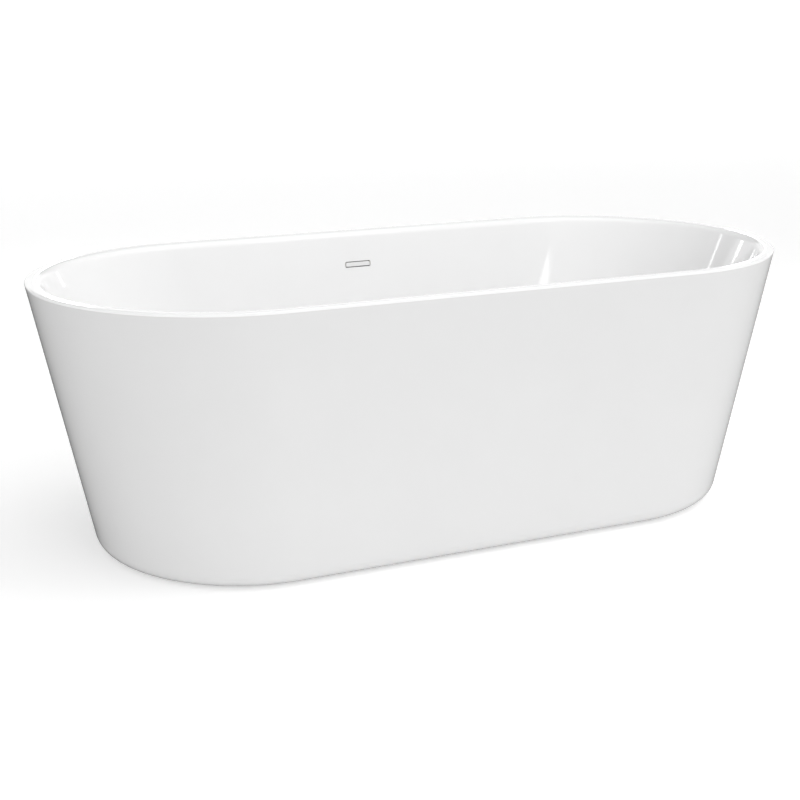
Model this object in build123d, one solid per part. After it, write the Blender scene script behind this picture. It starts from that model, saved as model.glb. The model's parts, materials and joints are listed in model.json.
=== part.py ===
from build123d import *
import os
from math import cos, radians, sin, tan

# Freestanding double-ended bathtub. Millimetres, +Z up, +X along the length, +Y towards the
# wall that holds the overflow. The origin is on the floor, under the middle of the bath.

# ---- driving sizes of the bath ----
bath_length = 1700.0
bath_width = 800.0
bath_height = 580.0
base_end_inset = 120.0  # how far the skirt tapers in from the rim down to the floor
base_side_inset = 72.0
base_edge_radius = 38.0
skirt_floor_gap = 3.0
skirt_wall = 5.0
skirt_lip = 20.0  # flat turned-in edge under the skirt
rim_thickness = 6.0
rim_edge_radius = 3.5
rim_inset = 30.0  # from the outer edge to where the inner walls would meet the rim
rim_roll_radius = 18.0
basin_wall = 5.0
basin_floor_z = 140.0
basin_floor_radius = 90.0
end_slope_deg = 25.0
side_slope_deg = 8.5
rim_bond = 1.5  # thickness of the adhesive bead under the rim
rim_bond_inset = 6.0
rim_flange_width = 13.0

# ---- base board and frame ----
board_end_margin = 57.0  # flat floor of the basin left bare beyond the board
board_side_margin = 26.5
board_corner_radius = 110.0
board_thickness = 15.0
board_drain_hole_radius = 62.0
tube_side = 25.0
tube_wall = 1.5
tube_cap_depth = 12.0
tube_cap_rim = 2.0
rail_end_inset = 30.0  # from the board's end
rail_side_inset = 60.0  # from the board's side to the middle of a rail
crossbar_inset = 110.0  # from the rail's end to the middle of a crossbar
crossbar_skirt_gap = 83.0
board_screw_end = 60.0
board_screw_inner = 128.0
board_screw_radius = 2.5
board_screw_bite = 11.0
board_screw_head_radius = 5.0
board_screw_head = 3.0
screw_clearance = 0.4

# ---- levelling feet ----
foot_inset = 35.0  # from the crossbar's end
thread_radius = 6.0
thread_clearance = 0.05
nut_across_flats = 18.0
nut_height = 10.0
foot_pad_radius = 25.0
foot_pad_base = 6.0
foot_pad_height = 17.0
foot_pad_boss_radius = 12.0
foot_hex_height = 9.0
stud_top_clearance = 11.0  # below the basin's underside when the bath stands at rest

# ---- skirt fixings ----
block_length = 50.0
block_depth = 30.0
block_height = 34.0
bracket_width = 30.0
bracket_thickness = 3.0
bracket_nut_gap = 4.0
bracket_screw_offset = 12.0
bracket_screw_radius = 2.0
bracket_screw_length = 18.0

# ---- waste ----
slide_clearance = 0.05
fit_clearance = 0.1
drain_thread_radius = 23.9
drain_tube_wall = 3.4
drain_tube_length = 40.5
drain_hole_clearance = 1.1
drain_flange_width = 12.0  # flange outside the threaded tube
drain_flange_height = 3.0
drain_seat_width = 7.0
drain_seat_depth = 2.0
drain_gasket_thickness = 1.5
drain_recess_margin = 4.0  # recess and boss outside the flange
drain_recess_depth = 3.0
drain_boss_width = 10.0
drain_boss_depth = 4.0
drain_bar_depth = 33.5  # from the underside of the flange down to the crossbar in the tube
drain_bar_thickness = 5.0
drain_bar_width = 6.0
cartridge_radius = 9.0
cartridge_shoulder_width = 3.0
cartridge_below_bar = 21.0
cartridge_above_bar = 18.0
cartridge_wall = 2.0
cartridge_end_wall = 4.0
stem_radius = 4.0
plug_travel = 9.0
plug_overlap = 2.0  # plug cap outside its seat
plug_height = 5.0
plug_seal_thickness = 2.0
plug_seal_width = 5.0
plug_seal_margin = 3.0
spring_wire_radius = 0.7
spring_turns = 4
spring_closed_height = 7.0
waste_body_wall = 4.0
waste_body_height = 67.5
waste_collar_width = 12.0
waste_collar_thickness = 4.0
waste_neck_length = 14.0
outlet_radius = 20.0
outlet_wall = 2.5
outlet_step = 0.5  # the end inside the waste body is this much thinner
outlet_free_length = 22.0
outlet_nut_gap = 3.0  # between the nut and the free length
outlet_nut_wall = 4.5
outlet_nut_base = 2.5
outlet_nut_grips = 12

# ---- overflow ----
overflow_drop = 79.0  # from the top of the rim to the middle of the slot
overflow_width = 66.0
overflow_height = 14.0
overflow_corner_radius = 3.5
overflow_gap = 2.0  # water slot all round the cover
overflow_cover_thickness = 2.5
overflow_pin_radius = 2.4
overflow_pin_spacing = 44.0
overflow_gasket_thickness = 1.0
overflow_body_width = 92.0
overflow_body_height = 38.0
overflow_body_depth = 17.0
overflow_body_wall = 2.0
hose_radius = 9.0
hose_wall = 1.9
spigot_wall = 1.9
hose_level = 18.0  # above the bottom of the waste body
hose_bend_radius = 70.0
hose_overlap = 14.0
hose_clip_width = 8.0
hose_clip_thickness = 1.2

# ---- levels and places that follow ----
basin_bottom_z = basin_floor_z - basin_wall
board_bottom_z = basin_bottom_z - board_thickness
rail_z = board_bottom_z - tube_side / 2
crossbar_z = rail_z - tube_side
crossbar_top_z = crossbar_z + tube_side / 2
crossbar_bottom_z = crossbar_z - tube_side / 2
drain_gasket_z = basin_floor_z - drain_recess_depth
flange_bottom_z = drain_gasket_z + drain_gasket_thickness
flange_top_z = flange_bottom_z + drain_flange_height
boss_bottom_z = basin_bottom_z - drain_boss_depth
waste_top_z = boss_bottom_z - drain_gasket_thickness
waste_body_bottom_z = waste_top_z - waste_body_height
hose_level_z = waste_body_bottom_z + hose_level
hose_bore_radius = hose_radius - hose_wall
drain_bore_radius = drain_thread_radius - drain_tube_wall
drain_flange_radius = drain_thread_radius + drain_flange_width
drain_seat_radius = drain_thread_radius + drain_seat_width
drain_hole_radius = drain_thread_radius + drain_hole_clearance
drain_recess_radius = drain_flange_radius + drain_recess_margin
drain_boss_radius = drain_recess_radius + drain_boss_width
drain_bar_z = flange_bottom_z - drain_bar_depth
cartridge_bottom_z = drain_bar_z - cartridge_below_bar
cartridge_top_z = drain_bar_z + drain_bar_thickness + cartridge_above_bar
cartridge_bore_radius = cartridge_radius - cartridge_wall
cartridge_shoulder_radius = cartridge_radius + cartridge_shoulder_width
seat_z = flange_top_z - drain_seat_depth
plug_radius = drain_seat_radius + plug_overlap
plug_bottom_z = seat_z + fit_clearance + plug_seal_thickness + plug_travel
stem_bottom_z = cartridge_bottom_z + cartridge_end_wall + plug_travel + spring_closed_height
waste_body_radius = drain_thread_radius + fit_clearance + waste_body_wall
waste_collar_radius = waste_body_radius + waste_collar_width
outlet_shank_radius = outlet_radius - outlet_step
neck_radius = outlet_shank_radius + outlet_wall
overflow_z = bath_height - overflow_drop
basin_slope = tan(radians(side_slope_deg))
overflow_y = bath_width / 2 - rim_inset - (bath_height - overflow_z) * basin_slope
overflow_face = Plane(
    origin=(0, overflow_y, overflow_z),
    x_dir=(-1, 0, 0),
    z_dir=(0, cos(radians(side_slope_deg)), -sin(radians(side_slope_deg))),
)
overflow_body_z = basin_wall + overflow_gasket_thickness
hose_depth = overflow_body_z + fit_clearance + hose_radius


def save(shape, name):
    export_step(shape, f"parts/{name}.step")


def cylinder(radius, low, high, x=0.0, y=0.0):
    return Pos(x, y, low) * Cylinder(radius, high - low, align=(Align.CENTER, Align.CENTER, Align.MIN))


def ring(outer, inner, low, high, x=0.0, y=0.0):
    return cylinder(outer, low, high, x, y) - cylinder(inner, low - 1, high + 1, x, y)


def hexagon(across_flats, low, high, x=0.0, y=0.0):
    outline = RegularPolygon(across_flats / 2, 6, major_radius=False)
    return Pos(x, y, low) * extrude(outline, high - low)


def stadium(half_length, half_width, z):
    return Pos(0, 0, z) * SlotOverall(2 * half_length, 2 * half_width)


def edges_at(solid, z):
    return [e for e in solid.edges() if abs(e.center().Z - z) < 0.01 and abs(e.bounding_box().size.Z) < 0.01]


# ---- outlines of the two shells at any height ----
def skirt_halves(z, inset=0.0):
    taper = 1 - z / (bath_height - rim_edge_radius)  # full size just under the rounded edge of the rim
    half_length = bath_length / 2 - base_end_inset * taper
    half_width = bath_width / 2 - base_side_inset * taper
    return half_length - inset, half_width - inset


def basin_halves(z, offset=0.0):
    depth = bath_height - z
    half_length = bath_length / 2 - rim_inset - depth * tan(radians(end_slope_deg))
    half_width = bath_width / 2 - rim_inset - depth * basin_slope
    return half_length + offset, half_width + offset


def flat_floor_halves():
    """Flat part of the basin's floor, inside the rounded edge all round it."""
    half_length, half_width = basin_halves(basin_floor_z)
    end_round = basin_floor_radius * tan(radians(90 - end_slope_deg) / 2)
    side_round = basin_floor_radius * tan(radians(90 - side_slope_deg) / 2)
    return half_length - end_round, half_width - side_round


def between(halves, low, high, inset):
    """Straight-sided solid between two heights of one of the shells."""
    return loft([stadium(*halves(low, inset), low), stadium(*halves(high, inset), high)], ruled=True)


# ---- the shells ----
def make_skirt():
    top_z = bath_height - rim_thickness
    outer = between(skirt_halves, skirt_floor_gap, top_z, 0)
    outer = fillet(edges_at(outer, skirt_floor_gap), base_edge_radius)
    inner_bottom_z = skirt_floor_gap + skirt_wall
    inner = between(skirt_halves, inner_bottom_z, top_z + 1, skirt_wall)
    inner = fillet(edges_at(inner, inner_bottom_z), base_edge_radius - skirt_wall)
    opening_inset = base_edge_radius + skirt_lip
    opening = between(skirt_halves, skirt_floor_gap - 1, inner_bottom_z + 1, opening_inset)
    flange_z = top_z - rim_thickness
    flange = between(skirt_halves, flange_z, top_z, skirt_wall - 1)
    flange -= between(skirt_halves, flange_z - 1, top_z + 1, rim_flange_width)
    groove = between(skirt_halves, top_z - rim_bond, top_z + 1, rim_bond_inset)
    return outer - inner - opening + flange - groove


def make_rim_bond():
    top_z = bath_height - rim_thickness
    bead = between(skirt_halves, top_z - rim_bond, top_z, rim_bond_inset + 0.5)
    return bead - between(skirt_halves, top_z - rim_bond - 1, top_z + 1, rim_flange_width - 1)


def make_basin():
    rim_bottom_z = bath_height - rim_thickness
    rim = between(skirt_halves, rim_bottom_z, bath_height, 0)
    shell = between(basin_halves, basin_bottom_z, rim_bottom_z, basin_wall)
    shell = fillet(edges_at(shell, basin_bottom_z), basin_floor_radius + basin_wall)
    under_roll = rim_roll_radius - basin_wall
    body = shell + rim
    body = fillet(inner_edges(body, rim_bottom_z), under_roll)
    cavity = between(basin_halves, basin_floor_z, bath_height, 0)
    cavity = fillet(edges_at(cavity, basin_floor_z), basin_floor_radius)
    body -= cavity
    body = fillet(inner_edges(body, bath_height), rim_roll_radius)
    body = fillet(outer_edges(body, bath_height), rim_edge_radius)
    body += cylinder(drain_boss_radius, boss_bottom_z, basin_floor_z - 1)
    body -= cylinder(drain_recess_radius, drain_gasket_z, basin_floor_z + 10)
    body -= cylinder(drain_hole_radius, boss_bottom_z - 1, basin_floor_z + 1)
    body -= overflow_face.location * overflow_slot(0, -15, 15)
    return body


def reach_y(edge):
    box = edge.bounding_box()
    return max(box.max.Y, -box.min.Y)


def inner_edges(body, z):
    return [e for e in edges_at(body, z) if reach_y(e) < skirt_halves(z)[1] - rim_edge_radius]


def outer_edges(body, z):
    return [e for e in edges_at(body, z) if reach_y(e) > skirt_halves(z)[1] - rim_edge_radius]


def overflow_slot(margin, low, high):
    outline = RectangleRounded(
        overflow_width - 2 * margin, overflow_height - 2 * margin, overflow_corner_radius - margin / 2)
    return Pos(0, 0, low) * extrude(outline, high - low)


# ---- base board and frame, in whole millimetres under the flat floor ----
board_half_length = round(flat_floor_halves()[0] - board_end_margin)
board_half_width = round(flat_floor_halves()[1] - board_side_margin)
rail_half_length = board_half_length - rail_end_inset
rail_y = board_half_width - rail_side_inset
crossbar_x = rail_half_length - crossbar_inset
crossbar_half_length = round(skirt_halves(crossbar_z, skirt_wall)[1] - crossbar_skirt_gap)
foot_y = crossbar_half_length - foot_inset
rail_places = (-rail_y, rail_y)
crossbar_places = (-crossbar_x, crossbar_x)
foot_places = [(x, y) for x in crossbar_places for y in (-foot_y, foot_y)]


def board_screw_places():
    outer = rail_half_length - board_screw_end
    return [(x, y) for x in (-outer, -board_screw_inner, board_screw_inner, outer) for y in rail_places]


def make_base_board():
    outline = RectangleRounded(2 * board_half_length, 2 * board_half_width, board_corner_radius)
    board = Pos(0, 0, board_bottom_z) * extrude(outline, board_thickness)
    board -= cylinder(board_drain_hole_radius, board_bottom_z - 1, basin_bottom_z + 1)
    for x, y in board_screw_places():
        board -= cylinder(board_screw_radius, board_bottom_z - 1, board_bottom_z + board_screw_bite, x, y)
    return board


def square_tube(length):
    outer = Box(length, tube_side, tube_side)
    return outer - Box(length + 2, tube_side - 2 * tube_wall, tube_side - 2 * tube_wall)


def make_rail(y):
    rail = Pos(0, y, rail_z) * square_tube(2 * rail_half_length)
    for x, screw_y in board_screw_places():
        if screw_y == y:
            hole_radius = board_screw_radius + screw_clearance
            rail -= cylinder(hole_radius, rail_z - tube_side, rail_z + tube_side, x, y)
    return rail


def make_crossbar(x):
    bar = Pos(x, 0, crossbar_z) * Rot(0, 0, 90) * square_tube(2 * crossbar_half_length)
    for y in (-foot_y, foot_y):
        hole_radius = thread_radius + screw_clearance
        bar -= cylinder(hole_radius, crossbar_bottom_z - 1, crossbar_top_z + 1, x, y)
        bar -= cylinder(bracket_screw_radius, crossbar_z, crossbar_top_z + 1, x, bracket_screw_y(y))
    return bar


def tube_cap():
    """Push-in cap for a square tube, closing the end that faces +X at x = 0."""
    inside = tube_side - 2 * tube_wall - 2 * fit_clearance
    plug = Pos(-tube_cap_depth / 2, 0, 0) * Box(tube_cap_depth, inside, inside)
    plug -= Pos(-tube_cap_depth / 2 - 1, 0, 0) * Box(tube_cap_depth, inside - 4, inside - 4)
    cover = Pos(tube_cap_rim / 2, 0, 0) * Box(tube_cap_rim, tube_side, tube_side)
    cover = fillet(cover.edges().filter_by(Axis.X), 2)
    return plug + cover


def make_rail_caps():
    caps = []
    for y in rail_places:
        caps.append(Pos(rail_half_length, y, rail_z) * tube_cap())
        caps.append(Pos(-rail_half_length, y, rail_z) * Rot(0, 0, 180) * tube_cap())
    return caps


def make_crossbar_caps():
    caps = []
    for x in crossbar_places:
        caps.append(Pos(x, crossbar_half_length, crossbar_z) * Rot(0, 0, 90) * tube_cap())
        caps.append(Pos(x, -crossbar_half_length, crossbar_z) * Rot(0, 0, -90) * tube_cap())
    return caps


def make_board_screws():
    screws = []
    head_z = rail_z - tube_side / 2
    for x, y in board_screw_places():
        shank = cylinder(board_screw_radius, head_z, board_bottom_z + board_screw_bite - 0.5, x, y)
        head = cylinder(board_screw_head_radius, head_z - board_screw_head, head_z, x, y)
        screws.append(shank + fillet(edges_at(head, head_z - board_screw_head), 1.2))
    return screws


# ---- levelling feet ----
def foot_nut(low, x, y):
    nut = hexagon(nut_across_flats, low, low + nut_height, x, y)
    return nut - cylinder(thread_radius + thread_clearance, low - 1, low + nut_height + 1, x, y)


def make_weld_nuts():
    return [foot_nut(crossbar_top_z, x, y) for x, y in foot_places]


def make_lock_nuts():
    return [foot_nut(crossbar_bottom_z - nut_height, x, y) for x, y in foot_places]


def make_foot_pad(x, y):
    base = cylinder(foot_pad_radius, 0, foot_pad_base, x, y)
    base = chamfer(edges_at(base, foot_pad_base), 2)
    base = fillet(edges_at(base, 0), 1)
    boss = cylinder(foot_pad_boss_radius, foot_pad_base - 1, foot_pad_height, x, y)
    boss = fillet(edges_at(boss, foot_pad_height), 1.5)
    return base + boss - cylinder(thread_radius + thread_clearance, foot_pad_base, foot_pad_height + 1, x, y)


def make_foot_stud(x, y):
    hex_low = foot_pad_height + thread_clearance
    top_z = basin_bottom_z - stud_top_clearance
    stud = cylinder(thread_radius, foot_pad_base + thread_clearance, top_z, x, y)
    stud = chamfer(edges_at(stud, top_z), 1)
    return stud + hexagon(nut_across_flats, hex_low, hex_low + foot_hex_height, x, y)


# ---- skirt fixings ----
def side_of(y):
    return 1 if y > 0 else -1


def bracket_screw_y(y):
    return y + side_of(y) * (nut_across_flats / 2 + bracket_screw_offset)


def block_face_y():
    """Distance from the middle to the flat face of the skirt blocks."""
    level = crossbar_top_z + block_height / 2
    return skirt_halves(level, skirt_wall)[1] - block_depth


def make_skirt_block(x, y):
    low = crossbar_top_z - 2
    depth = block_depth + 15
    middle = side_of(y) * (block_face_y() + depth / 2)
    box = Pos(x, middle, low + block_height / 2) * Box(block_length, depth, block_height)
    block = box & between(skirt_halves, low - 5, low + block_height + 5, skirt_wall)
    return block - screw_into_block(x, y, 0)


def screw_into_block(x, y, head):
    """Horizontal screw from the bracket into the block; head is its height, or 0 for the bare hole."""
    side = side_of(y)
    start = block_face_y() - bracket_thickness
    level = crossbar_top_z + block_height / 2
    turn = Rot(-90 * side, 0, 0)
    shank = Pos(x, side * start, level) * turn * cylinder(bracket_screw_radius, 0, bracket_screw_length)
    if head:
        shank += Pos(x, side * start, level) * turn * cylinder(2 * bracket_screw_radius, -head, 0)
    return shank


def make_skirt_bracket(x, y):
    side = side_of(y)
    near = abs(y) + nut_across_flats / 2 + bracket_nut_gap
    far = block_face_y()
    flat = Box(bracket_width, far - near, bracket_thickness)
    flat = Pos(x, side * (near + far) / 2, crossbar_top_z + bracket_thickness / 2) * flat
    upright = Box(bracket_width, bracket_thickness, block_height - 4)
    upright = Pos(x, side * (far - bracket_thickness / 2), crossbar_top_z + (block_height - 4) / 2) * upright
    bracket = flat + upright
    bracket -= cylinder(bracket_screw_radius, crossbar_z, crossbar_top_z + 10, x, bracket_screw_y(y))
    return bracket - screw_into_block(x, y, 0)


def make_bracket_screws():
    screws = [screw_into_block(x, y, 2.5) for x, y in foot_places]
    head_z = crossbar_top_z + bracket_thickness
    for x, y in foot_places:
        screw = cylinder(bracket_screw_radius, crossbar_z + 2, head_z, x, bracket_screw_y(y))
        screws.append(screw + cylinder(2 * bracket_screw_radius, head_z, head_z + 2.5, x, bracket_screw_y(y)))
    return screws


# ---- waste ----
def make_drain_flange():
    plate = cylinder(drain_flange_radius, flange_bottom_z, flange_top_z)
    plate = fillet(edges_at(plate, flange_top_z), 2)
    tube_bottom_z = flange_bottom_z - drain_tube_length
    tube = cylinder(drain_thread_radius, tube_bottom_z, flange_bottom_z + 1)
    flange = plate + tube
    flange -= cylinder(drain_seat_radius, seat_z, flange_top_z + 1)
    flange -= cylinder(drain_bore_radius, tube_bottom_z - 1, flange_top_z + 1)
    bar_length = drain_bore_radius + drain_thread_radius
    bars = Box(bar_length, drain_bar_width, drain_bar_thickness)
    bars += Box(drain_bar_width, bar_length, drain_bar_thickness)
    flange += Pos(0, 0, drain_bar_z + drain_bar_thickness / 2) * bars
    flange += cylinder(cartridge_shoulder_radius, drain_bar_z, drain_bar_z + drain_bar_thickness)
    return flange - cylinder(cartridge_radius + fit_clearance, drain_bar_z - 1, cartridge_top_z)


def make_upper_gasket():
    return ring(drain_flange_radius - 2, drain_thread_radius + 0.5, drain_gasket_z, flange_bottom_z)


def make_lower_gasket():
    return ring(waste_collar_radius - 1, drain_thread_radius + 0.5, waste_top_z, boss_bottom_z)


def make_cartridge():
    case = cylinder(cartridge_radius, cartridge_bottom_z, cartridge_top_z)
    shoulder_z = drain_bar_z + drain_bar_thickness
    case += cylinder(cartridge_shoulder_radius, shoulder_z, shoulder_z + cartridge_shoulder_width)
    case -= cylinder(cartridge_bore_radius, cartridge_bottom_z + cartridge_end_wall,
                     cartridge_top_z - cartridge_end_wall)
    guide_z = cartridge_top_z - cartridge_end_wall
    return case - cylinder(stem_radius + slide_clearance, guide_z - 1, cartridge_top_z + 1)


def make_plug_stem():
    stem = cylinder(stem_radius, stem_bottom_z, plug_bottom_z)
    collar_top = cartridge_top_z - cartridge_end_wall - slide_clearance
    return stem + cylinder(cartridge_bore_radius - fit_clearance, stem_bottom_z, collar_top)


def make_plug_spring():
    low = cartridge_bottom_z + cartridge_end_wall + spring_wire_radius + fit_clearance
    high = stem_bottom_z - spring_wire_radius - fit_clearance
    radius = cartridge_bore_radius - spring_wire_radius - 2 * fit_clearance
    coil = Helix(pitch=(high - low) / spring_turns, height=high - low, radius=radius)
    wire = Plane(origin=coil @ 0, z_dir=coil % 0) * Circle(spring_wire_radius)
    return Pos(0, 0, low) * sweep(wire, path=coil)


def make_plug_cap():
    cap = cylinder(plug_radius, plug_bottom_z, plug_bottom_z + plug_height)
    return fillet(edges_at(cap, plug_bottom_z + plug_height), 2.5)


def make_plug_seal():
    radius = drain_seat_radius - plug_seal_margin
    return ring(radius, radius - plug_seal_width, plug_bottom_z - plug_seal_thickness, plug_bottom_z)


def make_waste_body():
    collar = cylinder(waste_collar_radius, waste_top_z - waste_collar_thickness, waste_top_z)
    cup = cylinder(waste_body_radius, waste_body_bottom_z, waste_top_z)
    cup = fillet(edges_at(cup, waste_body_bottom_z), 4)
    neck_bottom_z = waste_body_bottom_z - waste_neck_length
    neck = cylinder(neck_radius, neck_bottom_z, waste_body_bottom_z + 2)
    spigot_radius = hose_bore_radius - fit_clearance
    inlet = along_y(spigot_radius, waste_body_radius - waste_body_wall / 2, hose_start_y() + hose_overlap)
    body = collar + cup + neck + inlet
    floor_z = waste_body_bottom_z + waste_body_wall + 2
    body -= cylinder(drain_thread_radius + fit_clearance, floor_z, waste_top_z + 1)
    socket_top_z = waste_body_bottom_z + slide_clearance
    body -= cylinder(outlet_shank_radius + fit_clearance, neck_bottom_z - 1, socket_top_z)
    body -= cylinder(outlet_radius - outlet_wall, neck_bottom_z - 1, floor_z + 1)
    inlet_end = hose_start_y() + hose_overlap
    return body - along_y(spigot_radius - spigot_wall, drain_thread_radius - 5, inlet_end + 1)


def along_y(radius, near, far):
    return Pos(0, near, hose_level_z) * Rot(-90, 0, 0) * cylinder(radius, 0, far - near)


def make_outlet_pipe():
    step_z = waste_body_bottom_z - waste_neck_length - outlet_nut_base - 2 - outlet_nut_gap
    bottom_z = step_z - outlet_free_length
    pipe = cylinder(outlet_radius, bottom_z, step_z)
    pipe += cylinder(outlet_shank_radius, step_z, waste_body_bottom_z)
    return pipe - cylinder(outlet_radius - outlet_wall, bottom_z - 1, waste_body_bottom_z + 1)


def make_outlet_nut():
    top_z = waste_body_bottom_z - 1
    inner_floor_z = waste_body_bottom_z - waste_neck_length - 2
    bottom_z = inner_floor_z - outlet_nut_base
    outlet_nut_radius = neck_radius + outlet_nut_wall
    nut = ring(outlet_nut_radius, outlet_shank_radius + fit_clearance, bottom_z, top_z)
    nut -= cylinder(neck_radius + fit_clearance, inner_floor_z, top_z + 1)
    groove = cylinder(2, bottom_z - 1, top_z + 1, outlet_nut_radius + 1)
    for n in range(outlet_nut_grips):
        nut -= Rot(0, 0, n * 360 / outlet_nut_grips) * groove
    return nut


# ---- overflow ----
def make_overflow_cover():
    plate = overflow_slot(overflow_gap, -overflow_cover_thickness / 2, overflow_cover_thickness / 2)
    pin_end = overflow_body_z + overflow_body_depth / 2
    for x in (-overflow_pin_spacing / 2, overflow_pin_spacing / 2):
        plate += cylinder(overflow_pin_radius, 0, pin_end, x)
    return overflow_face.location * plate


def make_overflow_gasket():
    outline = RectangleRounded(overflow_body_width, overflow_body_height, 8)
    inside = RectangleRounded(overflow_width + 4, overflow_height + 4, 5)
    gasket = extrude(outline - inside, overflow_gasket_thickness)
    return overflow_face.location * Pos(0, 0, basin_wall) * gasket


def make_overflow_body():
    outline = RectangleRounded(overflow_body_width, overflow_body_height, 8)
    case = extrude(outline, overflow_body_depth)
    inside = RectangleRounded(overflow_width + 6, overflow_height + 6, 5)
    case -= Pos(0, 0, -1) * extrude(inside, overflow_body_depth - overflow_body_wall + 1)
    for x in (-overflow_pin_spacing / 2, overflow_pin_spacing / 2):
        socket = ring(overflow_pin_radius + 2, overflow_pin_radius + slide_clearance,
                      overflow_body_depth / 2 - 2, overflow_body_depth - 1, x)
        case += socket
    spigot_z = hose_depth - overflow_body_z
    spigot_radius = hose_bore_radius - fit_clearance
    spigot_length = overflow_body_height / 2 + hose_overlap
    turn = Pos(0, 0, spigot_z) * Rot(90, 0, 0)
    spigot = turn * cylinder(spigot_radius, overflow_height / 2 + 3, spigot_length)
    bore = turn * cylinder(spigot_radius - spigot_wall, 0, spigot_length + 1)
    case = case + spigot - bore
    return overflow_face.location * Pos(0, 0, overflow_body_z) * case


def hose_start_y():
    return waste_body_radius + 14.0


def hose_path():
    """Down behind the basin wall, one bend under the basin, then level to the waste."""
    top = overflow_face.location * Pos(0, -overflow_body_height / 2 - 0.5, hose_depth)
    top_point = top.position
    drop = (top_point.Z - hose_level_z) * basin_slope
    corner = Vector(0, top_point.Y - drop, hose_level_z)
    end = Vector(0, hose_start_y(), hose_level_z)
    return FilletPolyline(top_point, corner, end, radius=hose_bend_radius)


def make_overflow_hose():
    path = hose_path()
    start = Plane(origin=path @ 0, z_dir=path % 0)
    outer = sweep(start * Circle(hose_radius), path=path)
    return outer - sweep(start * Circle(hose_bore_radius), path=path)


def make_hose_clips():
    path = hose_path()
    band = ring(hose_radius + hose_clip_thickness, hose_radius + slide_clearance, 0, hose_clip_width)
    clips = []
    for end, way in ((path @ 0, path % 0), (path @ 1, path % 1 * -1)):
        clips.append(Plane(origin=end + way * 3, z_dir=way).location * band)
    return clips


# ---- every piece ----
os.makedirs("parts", exist_ok=True)
save(make_skirt(), "outer_skirt")
save(make_rim_bond(), "rim_adhesive")
save(make_basin(), "basin")
save(make_base_board(), "base_board")
save(make_rail(rail_places[0]), "frame_rail_front")
save(make_rail(rail_places[1]), "frame_rail_back")
save(make_crossbar(crossbar_places[0]), "frame_crossbar_left")
save(make_crossbar(crossbar_places[1]), "frame_crossbar_right")
save(Compound(make_rail_caps()), "rail_end_caps")
save(Compound(make_crossbar_caps()), "crossbar_end_caps")
save(Compound(make_board_screws()), "board_screws")
save(Compound(make_weld_nuts()), "weld_nuts")
save(Compound(make_lock_nuts()), "lock_nuts")
for number, (x, y) in enumerate(foot_places, start=1):
    save(make_foot_pad(x, y), f"foot_pad_{number}")
    save(make_foot_stud(x, y), f"foot_stud_{number}")
    save(make_skirt_block(x, y), f"skirt_block_{number}")
    save(make_skirt_bracket(x, y), f"skirt_bracket_{number}")
save(Compound(make_bracket_screws()), "bracket_screws")
save(make_drain_flange(), "drain_flange")
save(make_upper_gasket(), "drain_upper_gasket")
save(make_lower_gasket(), "drain_lower_gasket")
save(make_cartridge(), "plug_cartridge")
save(make_plug_stem(), "plug_stem")
save(make_plug_spring(), "plug_spring")
save(make_plug_cap(), "plug_cap")
save(make_plug_seal(), "plug_seal")
save(make_waste_body(), "waste_body")
save(make_outlet_pipe(), "outlet_pipe")
save(make_outlet_nut(), "outlet_nut")
save(make_overflow_cover(), "overflow_cover")
save(make_overflow_gasket(), "overflow_gasket")
save(make_overflow_body(), "overflow_body")
save(make_overflow_hose(), "overflow_hose")
save(Compound(make_hose_clips()), "hose_clips")
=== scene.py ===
"""A freestanding acrylic bathtub on its frame and feet, with its waste and overflow, in a pale studio."""

import json
import math

import bmesh
import bpy
from mathutils import Matrix, Vector

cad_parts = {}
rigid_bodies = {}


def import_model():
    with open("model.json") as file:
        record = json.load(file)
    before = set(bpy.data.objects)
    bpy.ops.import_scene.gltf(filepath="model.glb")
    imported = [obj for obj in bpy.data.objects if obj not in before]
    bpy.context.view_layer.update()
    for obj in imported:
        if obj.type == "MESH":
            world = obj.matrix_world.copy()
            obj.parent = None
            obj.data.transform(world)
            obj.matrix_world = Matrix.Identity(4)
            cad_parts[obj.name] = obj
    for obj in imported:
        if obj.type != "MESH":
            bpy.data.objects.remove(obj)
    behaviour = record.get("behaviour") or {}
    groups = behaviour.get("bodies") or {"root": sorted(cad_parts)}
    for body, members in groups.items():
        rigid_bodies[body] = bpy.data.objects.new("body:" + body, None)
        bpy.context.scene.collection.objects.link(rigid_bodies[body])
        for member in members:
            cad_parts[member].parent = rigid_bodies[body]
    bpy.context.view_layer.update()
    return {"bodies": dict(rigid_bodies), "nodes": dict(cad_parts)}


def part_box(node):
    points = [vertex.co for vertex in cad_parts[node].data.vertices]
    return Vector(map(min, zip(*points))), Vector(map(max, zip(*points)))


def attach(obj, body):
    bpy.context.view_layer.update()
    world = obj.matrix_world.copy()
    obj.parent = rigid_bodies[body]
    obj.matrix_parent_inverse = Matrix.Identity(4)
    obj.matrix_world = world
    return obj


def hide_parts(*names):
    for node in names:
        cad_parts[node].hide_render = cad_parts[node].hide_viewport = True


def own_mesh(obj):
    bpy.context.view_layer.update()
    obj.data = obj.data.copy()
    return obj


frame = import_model()
bodies = frame["bodies"]
nodes = frame["nodes"]
MM = 0.001


# ---------------------------------------------------------------- driving sizes, in metres
basin_low, basin_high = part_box("basin")
skirt_low, skirt_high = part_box("outer_skirt")

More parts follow.
